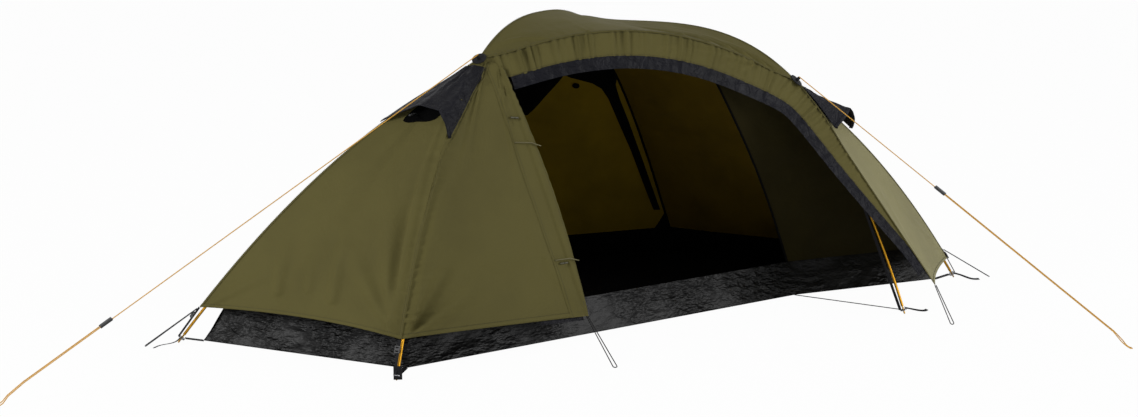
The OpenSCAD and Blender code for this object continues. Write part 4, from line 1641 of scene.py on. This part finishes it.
    def front_panels(self, seams: dict[str, Points]) -> None:
        """Make the head end, the fixed half of the door side and the foot end.

        Args:
            seams: The lines where the panels meet.
        """
        p, s = self.plan, self.plan.sizes
        head = span(p, seams["head_end"], seams["head_front"], self.cols, s.panel_sag, s.hem_rise)
        head = with_pulls(with_pulls(head, self.head_pulls), [self.head_ridge])
        head = with_billow(head, depth=0.0016, size_m=0.2, seed=11)
        head = with_puckers(head, Edge.LAST, depth=0.0045, wave=0.034, reach=0.045, seed=37)
        self.panel("fly_head_end", head, ["fly_head_panel"])
        door = span(p, seams["head_front"], self.door_edge(), self.cols, s.panel_sag / 2)
        door = with_billow(with_pulls(door, self.door_pulls), depth=0.0016, size_m=0.2, seed=12)
        door = with_puckers(door, Edge.LAST, depth=0.002, wave=0.04, reach=0.1, seed=31, ends=0.3)
        door = with_puckers(door, Edge.FIRST, depth=0.007, wave=0.034, reach=0.05, seed=38, ends=0.3)
        self.panel("fly_door_half", door, ["fly_door_panel"])
        foot = span(p, seams["foot_front"], seams["foot_end"], self.cols, s.panel_sag)
        foot = with_pulls(foot, self.foot_pulls)
        # The foot end's paler cloth is painted light shining through it from behind.
        self.panel("fly_foot_end", foot, ["fly_foot_panel"], FLY_END_PAINTED_LIGHT)
        self.parts.update({"head_end": head, "door": door, "foot_end": foot})

    def rear_panels(self, seams: dict[str, Points]) -> None:
        """Make the three panels of the rear.

        Args:
            seams: The lines where the panels meet.
        """
        p, s, count = self.plan, self.plan.sizes, self.rows + 1
        head_side = self.joined(seams["head_end"], seams["head_ridge"])
        foot_side = self.joined(seams["foot_end"], seams["foot_ridge"])
        head_rear, foot_rear = seams["head_rear"], seams["foot_rear"]
        for name, low, high, pulls, wave, seed in (
            ("rear", head_rear, foot_rear, self.rear_pulls, 0.24, 13),
            ("rear_head", resample(foot_rear, count), head_side, self.side_pulls, 0.26, 14),
            ("rear_foot", foot_side, resample(head_rear, count), self.side_pulls, 0.26, 15),
        ):
            cloth = with_pulls(span(p, low, high, self.cols, s.panel_sag, s.hem_rise), pulls)
            waved = with_billow(cloth, depth=0.002, size_m=wave, seed=seed)
            self.panel(f"fly_{name}", waved, [f"fly_{name}_panel"])
            self.parts[name] = cloth

    def roof(self, seams: dict[str, Points]) -> None:
        """Make the roof between the front pole and the ridge.

        Args:
            seams: The lines where the panels meet.
        """
        ridge = self.joined(seams["head_ridge"], seams["foot_ridge"][::-1])
        roof = span(self.plan, ridge, resample(seams["brow"], self.rows + 1), self.roof_cols, 0.0)
        roof = with_pulls(roof, [Pull((0.98, up), (0.5, up - 0.1), 8, 10, 1.5) for up in self.roof_folds])
        roof = with_billow(roof, depth=0.0016, size_m=0.18, seed=16)
        roof = with_puckers(roof, Edge.LAST, depth=0.006, wave=0.03, reach=0.06, seed=33, ends=1.0)
        self.panel("fly_roof", roof, ["fly_roof_panel"])

    def panel(self, name: str, grid: Points, nodes: Sequence[str], finish: Finish = FLY) -> None:
        """Make one panel, hung from the poles."""
        self.maker.sheet(name, grid, finish, nodes, ["front_pole_tube", "head_pole_tube", "foot_pole_tube"])

    def head_and_seam(self) -> Points:
        """Join the head end's cloth to the strip beyond the pole.

        Returns:
            One grid, up to the front seam.
        """
        head, door = self.parts["head_end"], self.parts["door"]
        up = np.linspace(0, 1, len(head))
        beyond = np.interp(up, *self.seam_share)[:, None] * np.linspace(0, 1, 15)[None, 1:]
        strip = sample(door, beyond, np.broadcast_to(up[:, None], beyond.shape))
        return np.concatenate([head, strip], axis=1)

    def front_seam(self, door: Points) -> Points:
        """Seam between the head end and the door side, which leaves the pole near the crossing."""
        up = np.linspace(0, 1, 90)
        return sample(door, np.interp(up, *self.seam_share), up)

    def placket(self, door: Points) -> None:
        """Cover the zip with a stitched flap along the door's free edge, with two elastic ties on it.

        Args:
            door: The door side's points.
        """
        t = np.linspace(0, self.flap_top, self.flap_rows)
        width = np.linalg.norm(door[:, -1] - door[:, 0], axis=1)
        wide = np.interp(t, np.linspace(0, 1, len(door)), width)
        beside = np.full_like(t, 0.97)  # just inside the edge, for the cloth's lie there
        edge, near = sample(door, np.ones_like(t), t), sample(door, beside, t)
        ahead, out = unit(edge - near), sample(normals_of(door), beside, t)
        cols = [sample(door, 1 - inset / wide, t) + out * high for inset, high in self.flap]
        reach = (self.flap_bow * np.sin(np.pi * t))[:, None]
        cols += [edge + ahead * reach * share + out * self.flap_high for share in (0.04, 0.5, 1)]
        flap = np.stack(cols, axis=1)
        self.maker.sheet("door_flap", flap, FLY, rests_on=["fly_door_half"])
        face = normals_of(flap)
        self.maker.stitches("door_flap_seam", flap[:, 1], face[:, 1])
        self.maker.stitches("door_flap_edge_seam", mix(flap[:, -1], flap[:, -2], 0.4), face[:, -1])
        left, right, top = self.facing
        facing = patch(door, np.full(2, left), np.full(2, right), np.array([0.0, top]), -0.003, 12)
        facing[..., 2] -= self.facing_drop  # its lower edge shows under the door's corner
        self.maker.sheet("door_corner_facing", facing, TRIM, rests_on=["fly_door_half"])
        for name, row in self.ties:
            k = int(round(row / t[-1] * (len(t) - 1)))
            self.tie(name, flap[k, 1], flap[k, -1], out[k])

    def tie(self, name: str, start: Points, end: Points, out: Points) -> None:
        """Lay an elastic tie across the flap, so that its free end curls past the edge.

        Args:
            name: Which tie.
            start: Where it is sewn on.
            end: The flap's edge beside it.
            out: Direction away from the cloth.
        """
        share = np.linspace(0, 1, 24)[:, None]
        curl = np.array([0.009, 0, -0.008]) * np.clip(share - 0.72, 0, None) * 4
        path = mix(start, end, share) + curl
        path = path + out * (0.0024 + 0.0068 * np.clip(share * 1.6, 0, 1) ** 0.5)
        self.maker.tube(f"door_tie_{name}", path, 0.0018, ELASTIC)

    def door_edge(self) -> Points:
        """Free edge of the door's fixed half, straight beside the zip."""
        t = np.linspace(0, 1, self.rows + 1)[:, None]
        return mix(self.plan.door_corner, self.plan.door_top, t)

    def brow_line(self, start: float) -> Points:
        """Find the line that the brow hangs from.

        Args:
            start: Where it starts, as a share of the way from crossing to crossing.

        Returns:
            Its points, along the front pole and then down the foot pole's front leg.
        """
        p, n = self.plan, self.brow_points
        t = mix(p.t_head, p.t_foot, np.linspace(start, 0.9, n))
        over = self.over(Pole.FRONT, p.seam(Pole.FRONT, t))
        return np.vstack([over, p.seam(Pole.FOOT, p.r_front)[None], p.foot_edge(n)[n - 1 :: -1]])

    def brow_strip(self, near: float, far: float, steps: int, start: float, short: int = 0) -> Points:
        """A strip of the brow between two distances from its seam.

        Args:
            near: Distance of its upper edge, in metres.
            far: Distance of its lower edge, in metres.
            steps: How many steps to make across it.
            start: Where it starts, as a share of the way from crossing to crossing.
            short: How many of the line's points it ends before the hem.

        Returns:
            The strip's points: rows along the brow, columns across it.
        """
        s = self.plan.sizes
        line = self.brow_line(start)
        ahead = unit(np.vstack([line[1:], line[-1:]]) - np.vstack([line[:1], line[:-1]]))
        to_middle = np.array(self.brow_middle) * (s.long_span, s.head_front[1], s.front_h) - line
        inward = unit(to_middle - ahead * (to_middle * ahead).sum(axis=1, keepdims=True))
        down = np.clip(np.arange(len(line)) - self.brow_points, 0, None) / self.brow_points
        taper = np.clip(1 - down**1.5 * 1.35, 0.03, 1)
        if start < self.edging_from:
            taper[:2] = (0.7, 1.05)  # the band's end is tucked in at the crossing
        across = mix(near, far, np.linspace(0, 1, steps + 1))
        depth = np.minimum(across, s.brow_depth) * taper[:, None]
        depth = depth + np.maximum(across - s.brow_depth, 0) * (1 - 0.2 * down[:, None])
        points = line[:, None] + inward[:, None] * depth[..., None]
        grid = refine(points[: len(line) - short], self.brow_fine, 0)
        soft = self.smoothed(grid)
        k = np.arange(len(grid))
        inside = np.clip(np.minimum(k, len(grid) - 1 - k) / self.smooth_ends, 0, 1)[:, None, None]
        return mix(grid, soft, np.clip(across / 0.04, 0, 1)[None, :, None] * inside)

    def smoothed(self, grid: Points) -> Points:
        """Smooth a strip along its length.

        Args:
            grid: The strip's points, rows along it.

        Returns:
            The strip with each point moved to the weighted middle of those beside it.
        """
        reach = self.smooth_reach
        longer = np.concatenate([grid[:1].repeat(reach, 0), grid, grid[-1:].repeat(reach, 0)])
        kernel = np.exp(-((np.arange(-reach, reach + 1) / self.smooth_width) ** 2))
        return sum(w * longer[k : k + len(grid)] for k, w in enumerate(kernel)) / kernel.sum()

    def brow(self) -> None:
        """Make the gathered brow band and its navy edge."""
        s = self.plan.sizes
        band = self.brow_strip(0, s.brow_depth, 14, self.brow_from)
        band = with_pulls(band, [Pull((0.02, 0.49), (far, up), 8, 8, 1.6) for far, up in self.brow_folds])
        gathered = with_puckers(band, Edge.FIRST, depth=0.012, wave=0.026, reach=0.07, seed=35, ends=0.8)
        wide = np.linalg.norm(band[:, -1] - band[:, 0], axis=1)[:, None, None] / s.brow_depth
        band = mix(band, gathered, np.clip(wide * 1.4 - 0.4, 0, 1))  # flat where it tapers away
        self.maker.sheet("brow_band", band, FLY, ["fly_brow_band"], ["seam_brow"], held=Held.GATHERED)
        out = normals_of(band)
        self.maker.stitches("brow_upper_seam", band[:, 1], out[:, 1], 0.0012)
        self.maker.stitches("brow_lower_seam", band[:, -2], out[:, -2], 0.0012)
        edge = self.brow_strip(
            s.brow_depth - 0.001, s.brow_depth + s.edging_depth, 8, self.edging_from, short=1
        )
        edge = with_puckers(edge, Edge.FIRST, depth=0.004, wave=0.045, reach=0.05, seed=36)
        edge = edge + normals_of(edge) * 0.0016
        self.maker.sheet("brow_edging", edge, TRIM, ["fly_brow_edging"], ["brow_band"])

    def tape(self, name: str, path: Points) -> None:
        """Cover a seam with a flat-felled seam that lies over the ridge.

        Args:
            name: The piece's name.
            path: The seam's points.
        """
        ahead = unit(np.gradient(path, axis=0))
        out = self.plan.away(path)
        side = unit(np.cross(ahead, out))
        section = ((-1, -0.0012), (-0.5, 0.0002), (0, 0.0009), (0.5, 0.0002), (1, -0.0012))
        cols = [path + side * self.seam_tape / 2 * across + out * high for across, high in section]
        grid = np.stack(cols, axis=1)
        obj = mesh_of(name, grid.reshape(-1, 3), grid_faces(*grid.shape[:2]), cloth_uv(grid))
        self.maker.dress(obj, FLY)
        for mark, k in (("near", 1), ("far", 3)):
            self.maker.stitches(f"{name}_{mark}_stitch", grid[:, k], out)

    def hems(self) -> None:
        """Fold a hem along the foot of each panel and sew it."""
        for name, grid in self.parts.items():
            out = normals_of(grid)
            strip = np.concatenate([grid[:1] - out[:1] * 0.0012, grid[:3] + out[:3] * 0.0008])
            obj = mesh_of(f"hem_{name}", strip.reshape(-1, 3), grid_faces(*strip.shape[:2]), cloth_uv(strip))
            # The foot end's hem is painted paler too: painted light.
            self.maker.dress(obj, FLY_END_PAINTED_LIGHT if name == "foot_end" else FLY)
            tall = np.linalg.norm(np.diff(grid, axis=0), axis=2).sum(axis=0).mean()
            across = np.linspace(0.005, 0.995, 120)
            up = np.full(120, self.hem_w / tall)
            self.maker.stitches(f"hem_{name}_seam", sample(grid, across, up), sample(out, across, up))


# ---- Vents ----
@dataclass(frozen=True)
class HoodShape:
    """Outline of a hood on the cloth under it.

    Heights and places are shares of that cloth's grid, and each pair of tuples runs across the hood.
    """

    places: tuple[float, ...]
    mouth: tuple[float, ...]
    top: float
    stand: float


@dataclass
class Vents:
    """Two hooded vents in navy cloth over mesh, each held open by a small strut."""

    plan: Plan
    maker: Maker
    fly: Flysheet
    off: float = 0.0075
    steps: int = 44
    rows: int = 33
    crumple: float = 0.004
    mesh_from: float = 0.2
    mesh_to: float = 0.66
    mesh_drop: float = 0.035
    mesh_steps: int = 25

    def hood(self, name: str, cloth: Points, shape: HoodShape, node: str, under: str) -> None:
        """Make one hood with its bound mouth and the mesh it covers.

        Args:
            name: The hood's name.
            cloth: The cloth it is sewn to.
            shape: Its outline there.
            node: The CAD node it stands for.
            under: The name of the cloth under it.
        """
        share = np.linspace(0, 1, self.steps + 1)
        mouth = np.interp(share, shape.places, shape.mouth)
        row = np.linspace(0, 1, self.rows)[:, None]
        up = mix(mouth[None], shape.top, row)
        across = np.broadcast_to(share[None], up.shape)
        base = sample(cloth, across, up)
        swell = np.sin(np.pi * across) ** 0.8 * (1 - row) ** 1.3
        crumple = self.crumple * hum(across * 2.2 + row, 51) * hum(row * 1.6 - across * 1.4, 52)
        lift = self.off * (1 - 0.4 * row) + shape.stand * swell + crumple * np.sin(np.pi * across)
        grid = base + self.plan.away(base) * lift[..., None]
        self.maker.sheet(name, grid, TRIM, [node], [under])
        side = np.gradient(grid, axis=0)[0]
        self.maker.band(f"{name}_binding", grid[0], side, 0.012, 0.0025, TRIM)
        self.maker.stitches(f"{name}_seam", grid[:, -2], self.plan.away(grid[:, -2]))
        self.mesh(name, cloth, shape, under)

    def mesh(self, name: str, cloth: Points, shape: HoodShape, under: str) -> None:
        """Lay a lens of mesh on the cloth behind a hood's mouth.

        Args:
            name: The hood's name.
            cloth: The cloth it is sewn to.
            shape: The hood's outline there.
            under: The name of the cloth under it.
        """
        row = np.linspace(0, 1, self.mesh_steps)
        place = mix(self.mesh_from, self.mesh_to, row)
        dip = np.sin(np.linspace(0, np.pi, self.mesh_steps)) ** 0.5
        low = np.interp(place, shape.places, shape.mouth) - self.mesh_drop * dip
        up = mix(low[None], shape.top - 0.04, row[:, None])
        lens = sample(cloth, np.broadcast_to(place, up.shape), up)
        lens = lens + normals_of(lens) * 0.0016
        self.maker.sheet(f"{name}_mesh", lens, MESH, rests_on=[under])

    def build(self) -> None:
        """Make both hoods and dress their struts."""
        self.hood(
            "head_hood",
            self.fly.head_and_seam(),
            HoodShape((0, 0.42, 0.75, 1), (0.735, 0.772, 0.757, 0.675), 0.965, 0.03),
            "head_vent_hood",
            "fly_head_end",
        )
        self.hood(
            "foot_hood",
            self.fly.parts["foot_end"],
            HoodShape((0, 0.5, 1), (0.74, 0.8, 0.765), 0.965, 0.055),
            "foot_vent_hood",
            "fly_foot_end",
        )
        self.maker.cad("head_vent_prop", NYLON)
        self.maker.cad("foot_vent_prop", NYLON)


# ---- Inner tent ----
@dataclass
class InnerTent:
    """Breathable inner tent that hangs inside the poles and stands on the bathtub wall."""

    plan: Plan
    maker: Maker
    rows: int = 60
    cols: int = 40
    roof_cols: int = 24
    sag: float = 0.0175
    wall_gap: float = 0.0015
    join_share: float = 1.58  # wall heights above the ground where a seam leaves its pole's inside
    pull_fade: float = 1.5
    slack: tuple[float, ...] = (0.34, 0.43, 0.5, 0.58, 0.66)
    summit_share: float = 0.7  # place of the door's top between the crossings
    door_bow: tuple[float, float, float] = (0.42, -0.28, 0)

    def line(self, pole: Pole, near: bool, end: float, corner: Points) -> Points:
        """Lay a seam that starts on a wall corner and joins the pole's inside higher up.

        Args:
            pole: The pole it hangs from.
            near: Whether it is on the pole's first leg.
            end: The place on the pole where it ends.
            corner: The wall's corner.

        Returns:
            The seam's points, from the wall up.
        """
        p, s = self.plan, self.plan.sizes
        start = p.at_height(pole, (s.floor_t + s.wall_h) * self.join_share, near)
        base = p.inner_seam(pole, start)
        path = p.inner_seam(pole, p.places(start, end, self.rows))
        pull = np.clip(1 - (path[:, 2] - base[2]) / (s.front_h / 2), 0, None) ** self.pull_fade
        return path + pull[:, None] * (corner - base)

    def joined(self, *lines: Points) -> Points:
        """Join lines and spread their points evenly."""
        return resample(np.vstack(lines), self.rows + 1)

    def hung(self, low: Points, high: Points) -> Points:
        """Hang a panel between two seams."""
        return span(self.plan, low, high, self.cols, self.sag)

    def build(self) -> None:
        """Make every inner panel."""
        p, s, n = self.plan, self.plan.sizes, self.rows
        top = s.floor_t + s.wall_h
        corners = [np.array([*c, top]) for c in p.inset(s.wall_lean + self.wall_gap)]
        head_end = self.line(Pole.FRONT, True, p.t_head, corners[0])
        head_front = self.line(Pole.HEAD, True, p.s_front, corners[1])
        foot_end = self.line(Pole.FRONT, False, p.t_foot, corners[3])
        head_rear = self.line(Pole.HEAD, False, p.s_rear, corners[4])
        foot_rear = self.line(Pole.FOOT, False, p.r_rear, corners[5])
        head_ridge = p.inner_seam(Pole.HEAD, np.linspace(p.s_front, p.s_rear, n))
        foot_ridge = p.inner_seam(Pole.FOOT, np.linspace(p.r_front, p.r_rear, n))
        brow = p.inner_seam(Pole.FRONT, np.linspace(p.t_head, p.t_foot, n + 1))
        # The inner panels' colours are painted light and shade on one cloth.
        self.panel("inner_head_end", self.hung(head_end, head_front), INNER, "inner_head_panel", 41)
        rear = self.panel("inner_rear", self.hung(head_rear, foot_rear), INNER, "inner_rear_panel", 42)
        self.mesh_parts(rear)
        side = self.hung(resample(foot_rear, n + 1), self.joined(head_end, head_ridge[1:]))
        self.panel("inner_rear_head", side, INNER, "inner_rear_head_panel", 43)
        side = self.hung(self.joined(foot_end, foot_ridge[1:]), resample(head_rear, n + 1))
        side = with_pulls(side, [Pull((0.9, up), (0.25, up - 0.05), 8, 13, 1.6) for up in self.slack])
        # Painted half shade on the rear foot panel.
        self.panel("inner_rear_foot", side, INNER_PAINTED_HALF_SHADE, "inner_rear_foot_panel", 44)
        at = mix(p.t_head, p.t_foot, self.summit_share)
        f = np.linspace(0, 1, n + 1)[:, None]
        bow = s.inner_gap * np.array(self.door_bow) * np.sin(np.pi * f)
        edge = mix(corners[2], p.inner_seam(Pole.FRONT, at), f) + bow
        door = span(p, edge, self.line(Pole.FRONT, False, at, corners[3]), self.cols, self.sag / 2)
        # Painted shade on the door side, which lies in shadow inside the tent.
        self.panel("inner_door_side", door, INNER_PAINTED_SHADE, "inner_foot_panel", 45)
        self.maker.band("inner_door_seam", edge, np.array([1.0, 0, 0]), 0.007, 0.002, MESH)
        ridge = self.joined(head_ridge, foot_ridge[::-1])
        roof = span(p, ridge, resample(brow, n + 1), self.roof_cols, 0.0)
        self.panel("inner_roof", roof, MESH, "inner_roof_panel", 46)

    def panel(self, name: str, grid: Points, finish: Finish, node: str, seed: int) -> Points:
        """Make one inner panel.

        Args:
            name: The panel's name.
            grid: Its points when it is tight.
            finish: Its finish.
            node: The CAD node it stands for.
            seed: Picks its waves.

        Returns:
            Its points with their waves.
        """
        grid = with_billow(grid, depth=0.003, size_m=0.16, seed=seed)
        poles = ["front_pole_tube", "head_pole_tube", "foot_pole_tube"]
        self.maker.sheet(name, grid, finish, [node], poles, Held.HUNG)
        return grid

    def mesh_parts(self, rear: Points) -> None:
        """Let the mesh roof run down into the rear panel: a gore along the pole and a slanting corner.

        Args:
            rear: The rear panel's points.
        """
        inward = -normals_of(rear)
        up = np.array([0.08, 0.32, 0.53, 0.59, 0.615, 0.63, 1.0])
        left = np.array([0.015, 0.03, 0.045, 0.04, 0.03, 0.0, 0.0])
        right = np.array([0.04, 0.07, 0.12, 0.16, 0.3, 0.46, 1.0])
        slant, high = np.array([0.61, 0.445, 0.35]), np.array([0.44, 0.62, 0.9])
        tab, low = np.array([0.055, 0.0]), np.array([0.0, 0.07])
        for name, cloth in (
            ("inner_mesh_gore", patch(rear, left, right, up, -0.003, 40)),
            ("inner_mesh_corner", patch(rear, slant, np.ones(3), high, -0.0036, 40)),
            ("inner_corner_tab", patch(rear, np.zeros(2), tab, low, -0.004, 6)),
        ):
            self.maker.sheet(name, cloth, MESH, rests_on=["inner_rear"], held=Held.HUNG)
        around = np.linspace(0, 2 * np.pi, 20)
        loop = sample(rear, 0.335 + 0.016 * np.cos(around), 0.585 + 0.006 * np.sin(around))
        self.maker.tube("inner_hanging_loop", loop + inward[36, 13] * 0.006, 0.005, MESH)
        self.maker.tube("inner_rear_piping", rear[:, 0] + inward[:, 0] * 0.004, 0.004, MESH)


# ---- Webbing, cords and small hardware ----
@dataclass
class Lines:
    """Guy lines with tensioners, peg loops and the straps at the pole feet."""

    plan: Plan
    maker: Maker
    # Both routes are in millimetres: down from the roof, round the peg and back up to the tensioner.
    head_route: tuple[tuple[float, float, float], ...] = (
        (-418, -180, 847), (-695, -238, 681), (-972, -296, 515), (-1249, -354, 349), (-1526, -412, 183),
        (-1733.75, -455.5, 58.5), (-1776, -466, 28), (-1790, -470, 11), (-1800, -471, 5),
        (-1808, -466, 3.5), (-1809, -458, 3.5), (-1802, -453, 5), (-1792, -453, 11), (-1778, -456, 28),
        (-1735.75, -446.5, 58.5), (-1528, -403, 183),
    )
    foot_route: tuple[tuple[float, float, float], ...] = (
        (623, -157, 737), (768, -310, 592), (913, -463, 447), (1058, -616, 302), (1203, -769, 157),
        (1311.75, -883.75, 48.25), (1328, -903, 22), (1338, -914, 11), (1346, -921, 5), (1354, -920, 3.5),
        (1357, -913, 3.5), (1352, -906, 5), (1345, -902, 11), (1336, -897, 24),
        (1317.75, -877.75, 48.25), (955.25, -495.25, 410.75),
    )
    tails: tuple[tuple[str, Pole, bool, tuple[float, float]], ...] = (
        ("head_end", Pole.FRONT, True, (-0.9, -0.35)),
        ("foot_front", Pole.FOOT, True, (1.0, 0.15)),
        ("foot_end", Pole.FRONT, False, (0.9, -0.5)),
    )

    def tail(self, name: str, pole: Pole, near: bool, away: Points) -> None:
        """Lay the loose end of a tightened strap past a pole's foot, in a flat S.

        Args:
            name: Which corner it is at.
            pole: The pole that stands there.
            near: Whether it is the foot of the pole's first leg.
            away: The direction it points in, in plan.
        """
        foot, _ = self.plan.leg(pole, near)
        ahead = np.array([*unit(away), 0.0])
        side = np.array([-ahead[1], ahead[0], 0.0])
        t = np.linspace(0, 1, 30)[:, None]
        path = np.array([foot[0], foot[1], 0.0]) + ahead * (0.012 + 0.085 * t)
        path = path + side * 0.009 * np.sin(2 * np.pi * t)
        path[:, 2] = 0.003 + 0.016 * (1 - t[:, 0]) ** 2
        self.maker.band(f"strap_tail_{name}", path, side + np.array([0, 0, 0.25]), 0.01, 0.0016, STRAP)

    def build(self) -> None:
        """Make every line, loop and strap."""
        for name, route in (("head_guy_line", self.head_route), ("foot_guy_line", self.foot_route)):
            path = np.array(route) / 1000
            cord = self.maker.tube(f"{name}_cord", path, self.plan.sizes.guy_d / 2, GUY, [name])
            tensioner = name.replace("guy_line", "tensioner")
            self.maker.cad(tensioner, NYLON)
        for node in ("floor_straps", "hem_straps", "crossing_patches"):
            self.maker.cad(node, STRAP)
        foot, _ = self.plan.leg(Pole.HEAD, True)
        front = np.array([-0.25, -0.97, 0.0])
        path = foot + front * 0.009 + np.linspace(0.016, -0.022, 8)[:, None] * np.array([0, 0, 1.0])
        self.maker.band("strap_keeper", path, np.cross(front, [0, 0, 1.0]), 0.024, 0.004, STRAP)
        for name, pole, near, away in self.tails:
            self.tail(name, pole, near, np.array(away))
        self.maker.cad("hem_buckles", NYLON)
        self.maker.cad("hem_loops", SHOCK)
        self.maker.cad("door_zip", NYLON)
        self.maker.cad("zip_slider", SLIDER)
        self.maker.cad("upper_toggle", TOGGLE_NYLON)
        self.maker.cad("lower_toggle", TOGGLE_NYLON)


# ---- Camera, light and floor ----
@dataclass
class Studio:
    """A plain pale floor, soft light and the camera."""

    lens_mm: float = 53.78
    place: tuple[float, float, float] = (-1.670, -4.975, 1.43)
    down_deg: float = 11.9
    right_deg: float = 17.7
    floor_m: float = 30.0
    floor_z: float = -0.0005
    floor_shade: tuple[float, float, float, float] = (0.85, 0.85, 0.85, 1)
    whiteness: float = 0.97  # how much of the floor's own shade the camera doesn't see
    sky: tuple[float, float, float, float] = (0.75, 0.77, 0.8, 1)
    sky_strength: float = 0.42
    aim: tuple[float, float, float] = (0, 0, 0.4)
    # Each lamp's name, place, width in metres and power in watts. The key grazes the cloth from the left.
    lamps: tuple[tuple[str, tuple[float, float, float], float, float], ...] = (
        ("key", (-5.6, -2.2, 2.6), 1.4, 170.0),
        ("fill", (4.8, -3.6, 2.0), 3.0, 180.0),
        ("top", (0.5, 1.0, 4.5), 3.0, 8.0),
    )

    def camera(self) -> None:
        """Set up the camera."""
        data = bpy.data.cameras.new("camera")
        data.lens = self.lens_mm
        data.sensor_width = 36
        obj = bpy.data.objects.new("camera", data)
        obj.location = self.place
        obj.rotation_euler = (math.radians(90 - self.down_deg), 0, math.radians(-self.right_deg))
        bpy.context.scene.collection.objects.link(obj)
        bpy.context.scene.camera = obj

    def floor(self) -> None:
        """Lay a pale floor that fades to white."""
        corners = self.floor_m * np.array([[-1, -1, 0], [1, -1, 0], [1, 1, 0], [-1, 1, 0]])
        obj = mesh_of("studio_floor", corners, [(0, 1, 2, 3)])
        obj.location = (0, 0, self.floor_z)
        material = bpy.data.materials.new("studio_floor")
        material.use_nodes = True
        tree = material.node_tree
        shader = tree.nodes["Principled BSDF"]
        settle(tree, shader, {"Base Color": self.floor_shade, "Roughness": 0.9})
        path = add(tree, "ShaderNodeLightPath")
        glow = add(tree, "ShaderNodeEmission", {"Color": (1, 1, 1, 1), "Strength": 1.0})
        seen = maths(tree, "MULTIPLY", path.outputs["Is Camera Ray"], self.whiteness)
        parts = {0: seen, 1: shader.outputs["BSDF"], 2: glow.outputs["Emission"]}
        both = add(tree, "ShaderNodeMixShader", parts)
        tree.links.new(both.outputs["Shader"], tree.nodes["Material Output"].inputs["Surface"])
        obj.data.materials.append(material)

    def light(self) -> None:
        """Set up the world and the soft lamps."""
        world = bpy.data.worlds.new("studio")
        world.use_nodes = True
        tree = world.node_tree
        back = tree.nodes["Background"]
        settle(tree, back, {"Color": self.sky, "Strength": self.sky_strength})
        white = add(tree, "ShaderNodeBackground", {"Color": (1, 1, 1, 1), "Strength": 1.0})
        path = add(tree, "ShaderNodeLightPath")
        seen = maths(tree, "MAXIMUM", path.outputs["Is Camera Ray"], path.outputs["Is Glossy Ray"])
        most = maths(tree, "MAXIMUM", seen, path.outputs["Is Transmission Ray"])
        both = add(tree, "ShaderNodeMixShader", {0: most, 1: back.outputs[0], 2: white.outputs[0]})
        tree.links.new(both.outputs[0], tree.nodes["World Output"].inputs["Surface"])
        bpy.context.scene.world = world
        for name, place, size, power in self.lamps:
            lamp = bpy.data.lights.new(name, "AREA")
            lamp.size = size
            lamp.energy = power
            obj = bpy.data.objects.new(name, lamp)
            obj.location = place
            aim = Vector(self.aim) - Vector(place)
            obj.rotation_euler = aim.to_track_quat("-Z", "Y").to_euler()
            bpy.context.scene.collection.objects.link(obj)

    def build(self) -> None:
        """Set up the whole studio."""
        bpy.context.scene.view_settings.view_transform = "Standard"
        self.camera()
        self.floor()
        self.light()


def main() -> None:
    """Build the tent's looks round its frame."""
    logging.basicConfig(level=logging.INFO, format="%(message)s")
    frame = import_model()
    plan = Plan()
    maker = Maker(frame)
    Studio().build()
    Lines(plan, maker).build()
    PoleFrame(plan, maker).build()
    Groundsheet(plan, maker).build()
    fly = Flysheet(plan, maker)
    fly.build()
    Vents(plan, maker, fly).build()
    InnerTent(plan, maker).build()


if __name__ == "__main__":
    main()
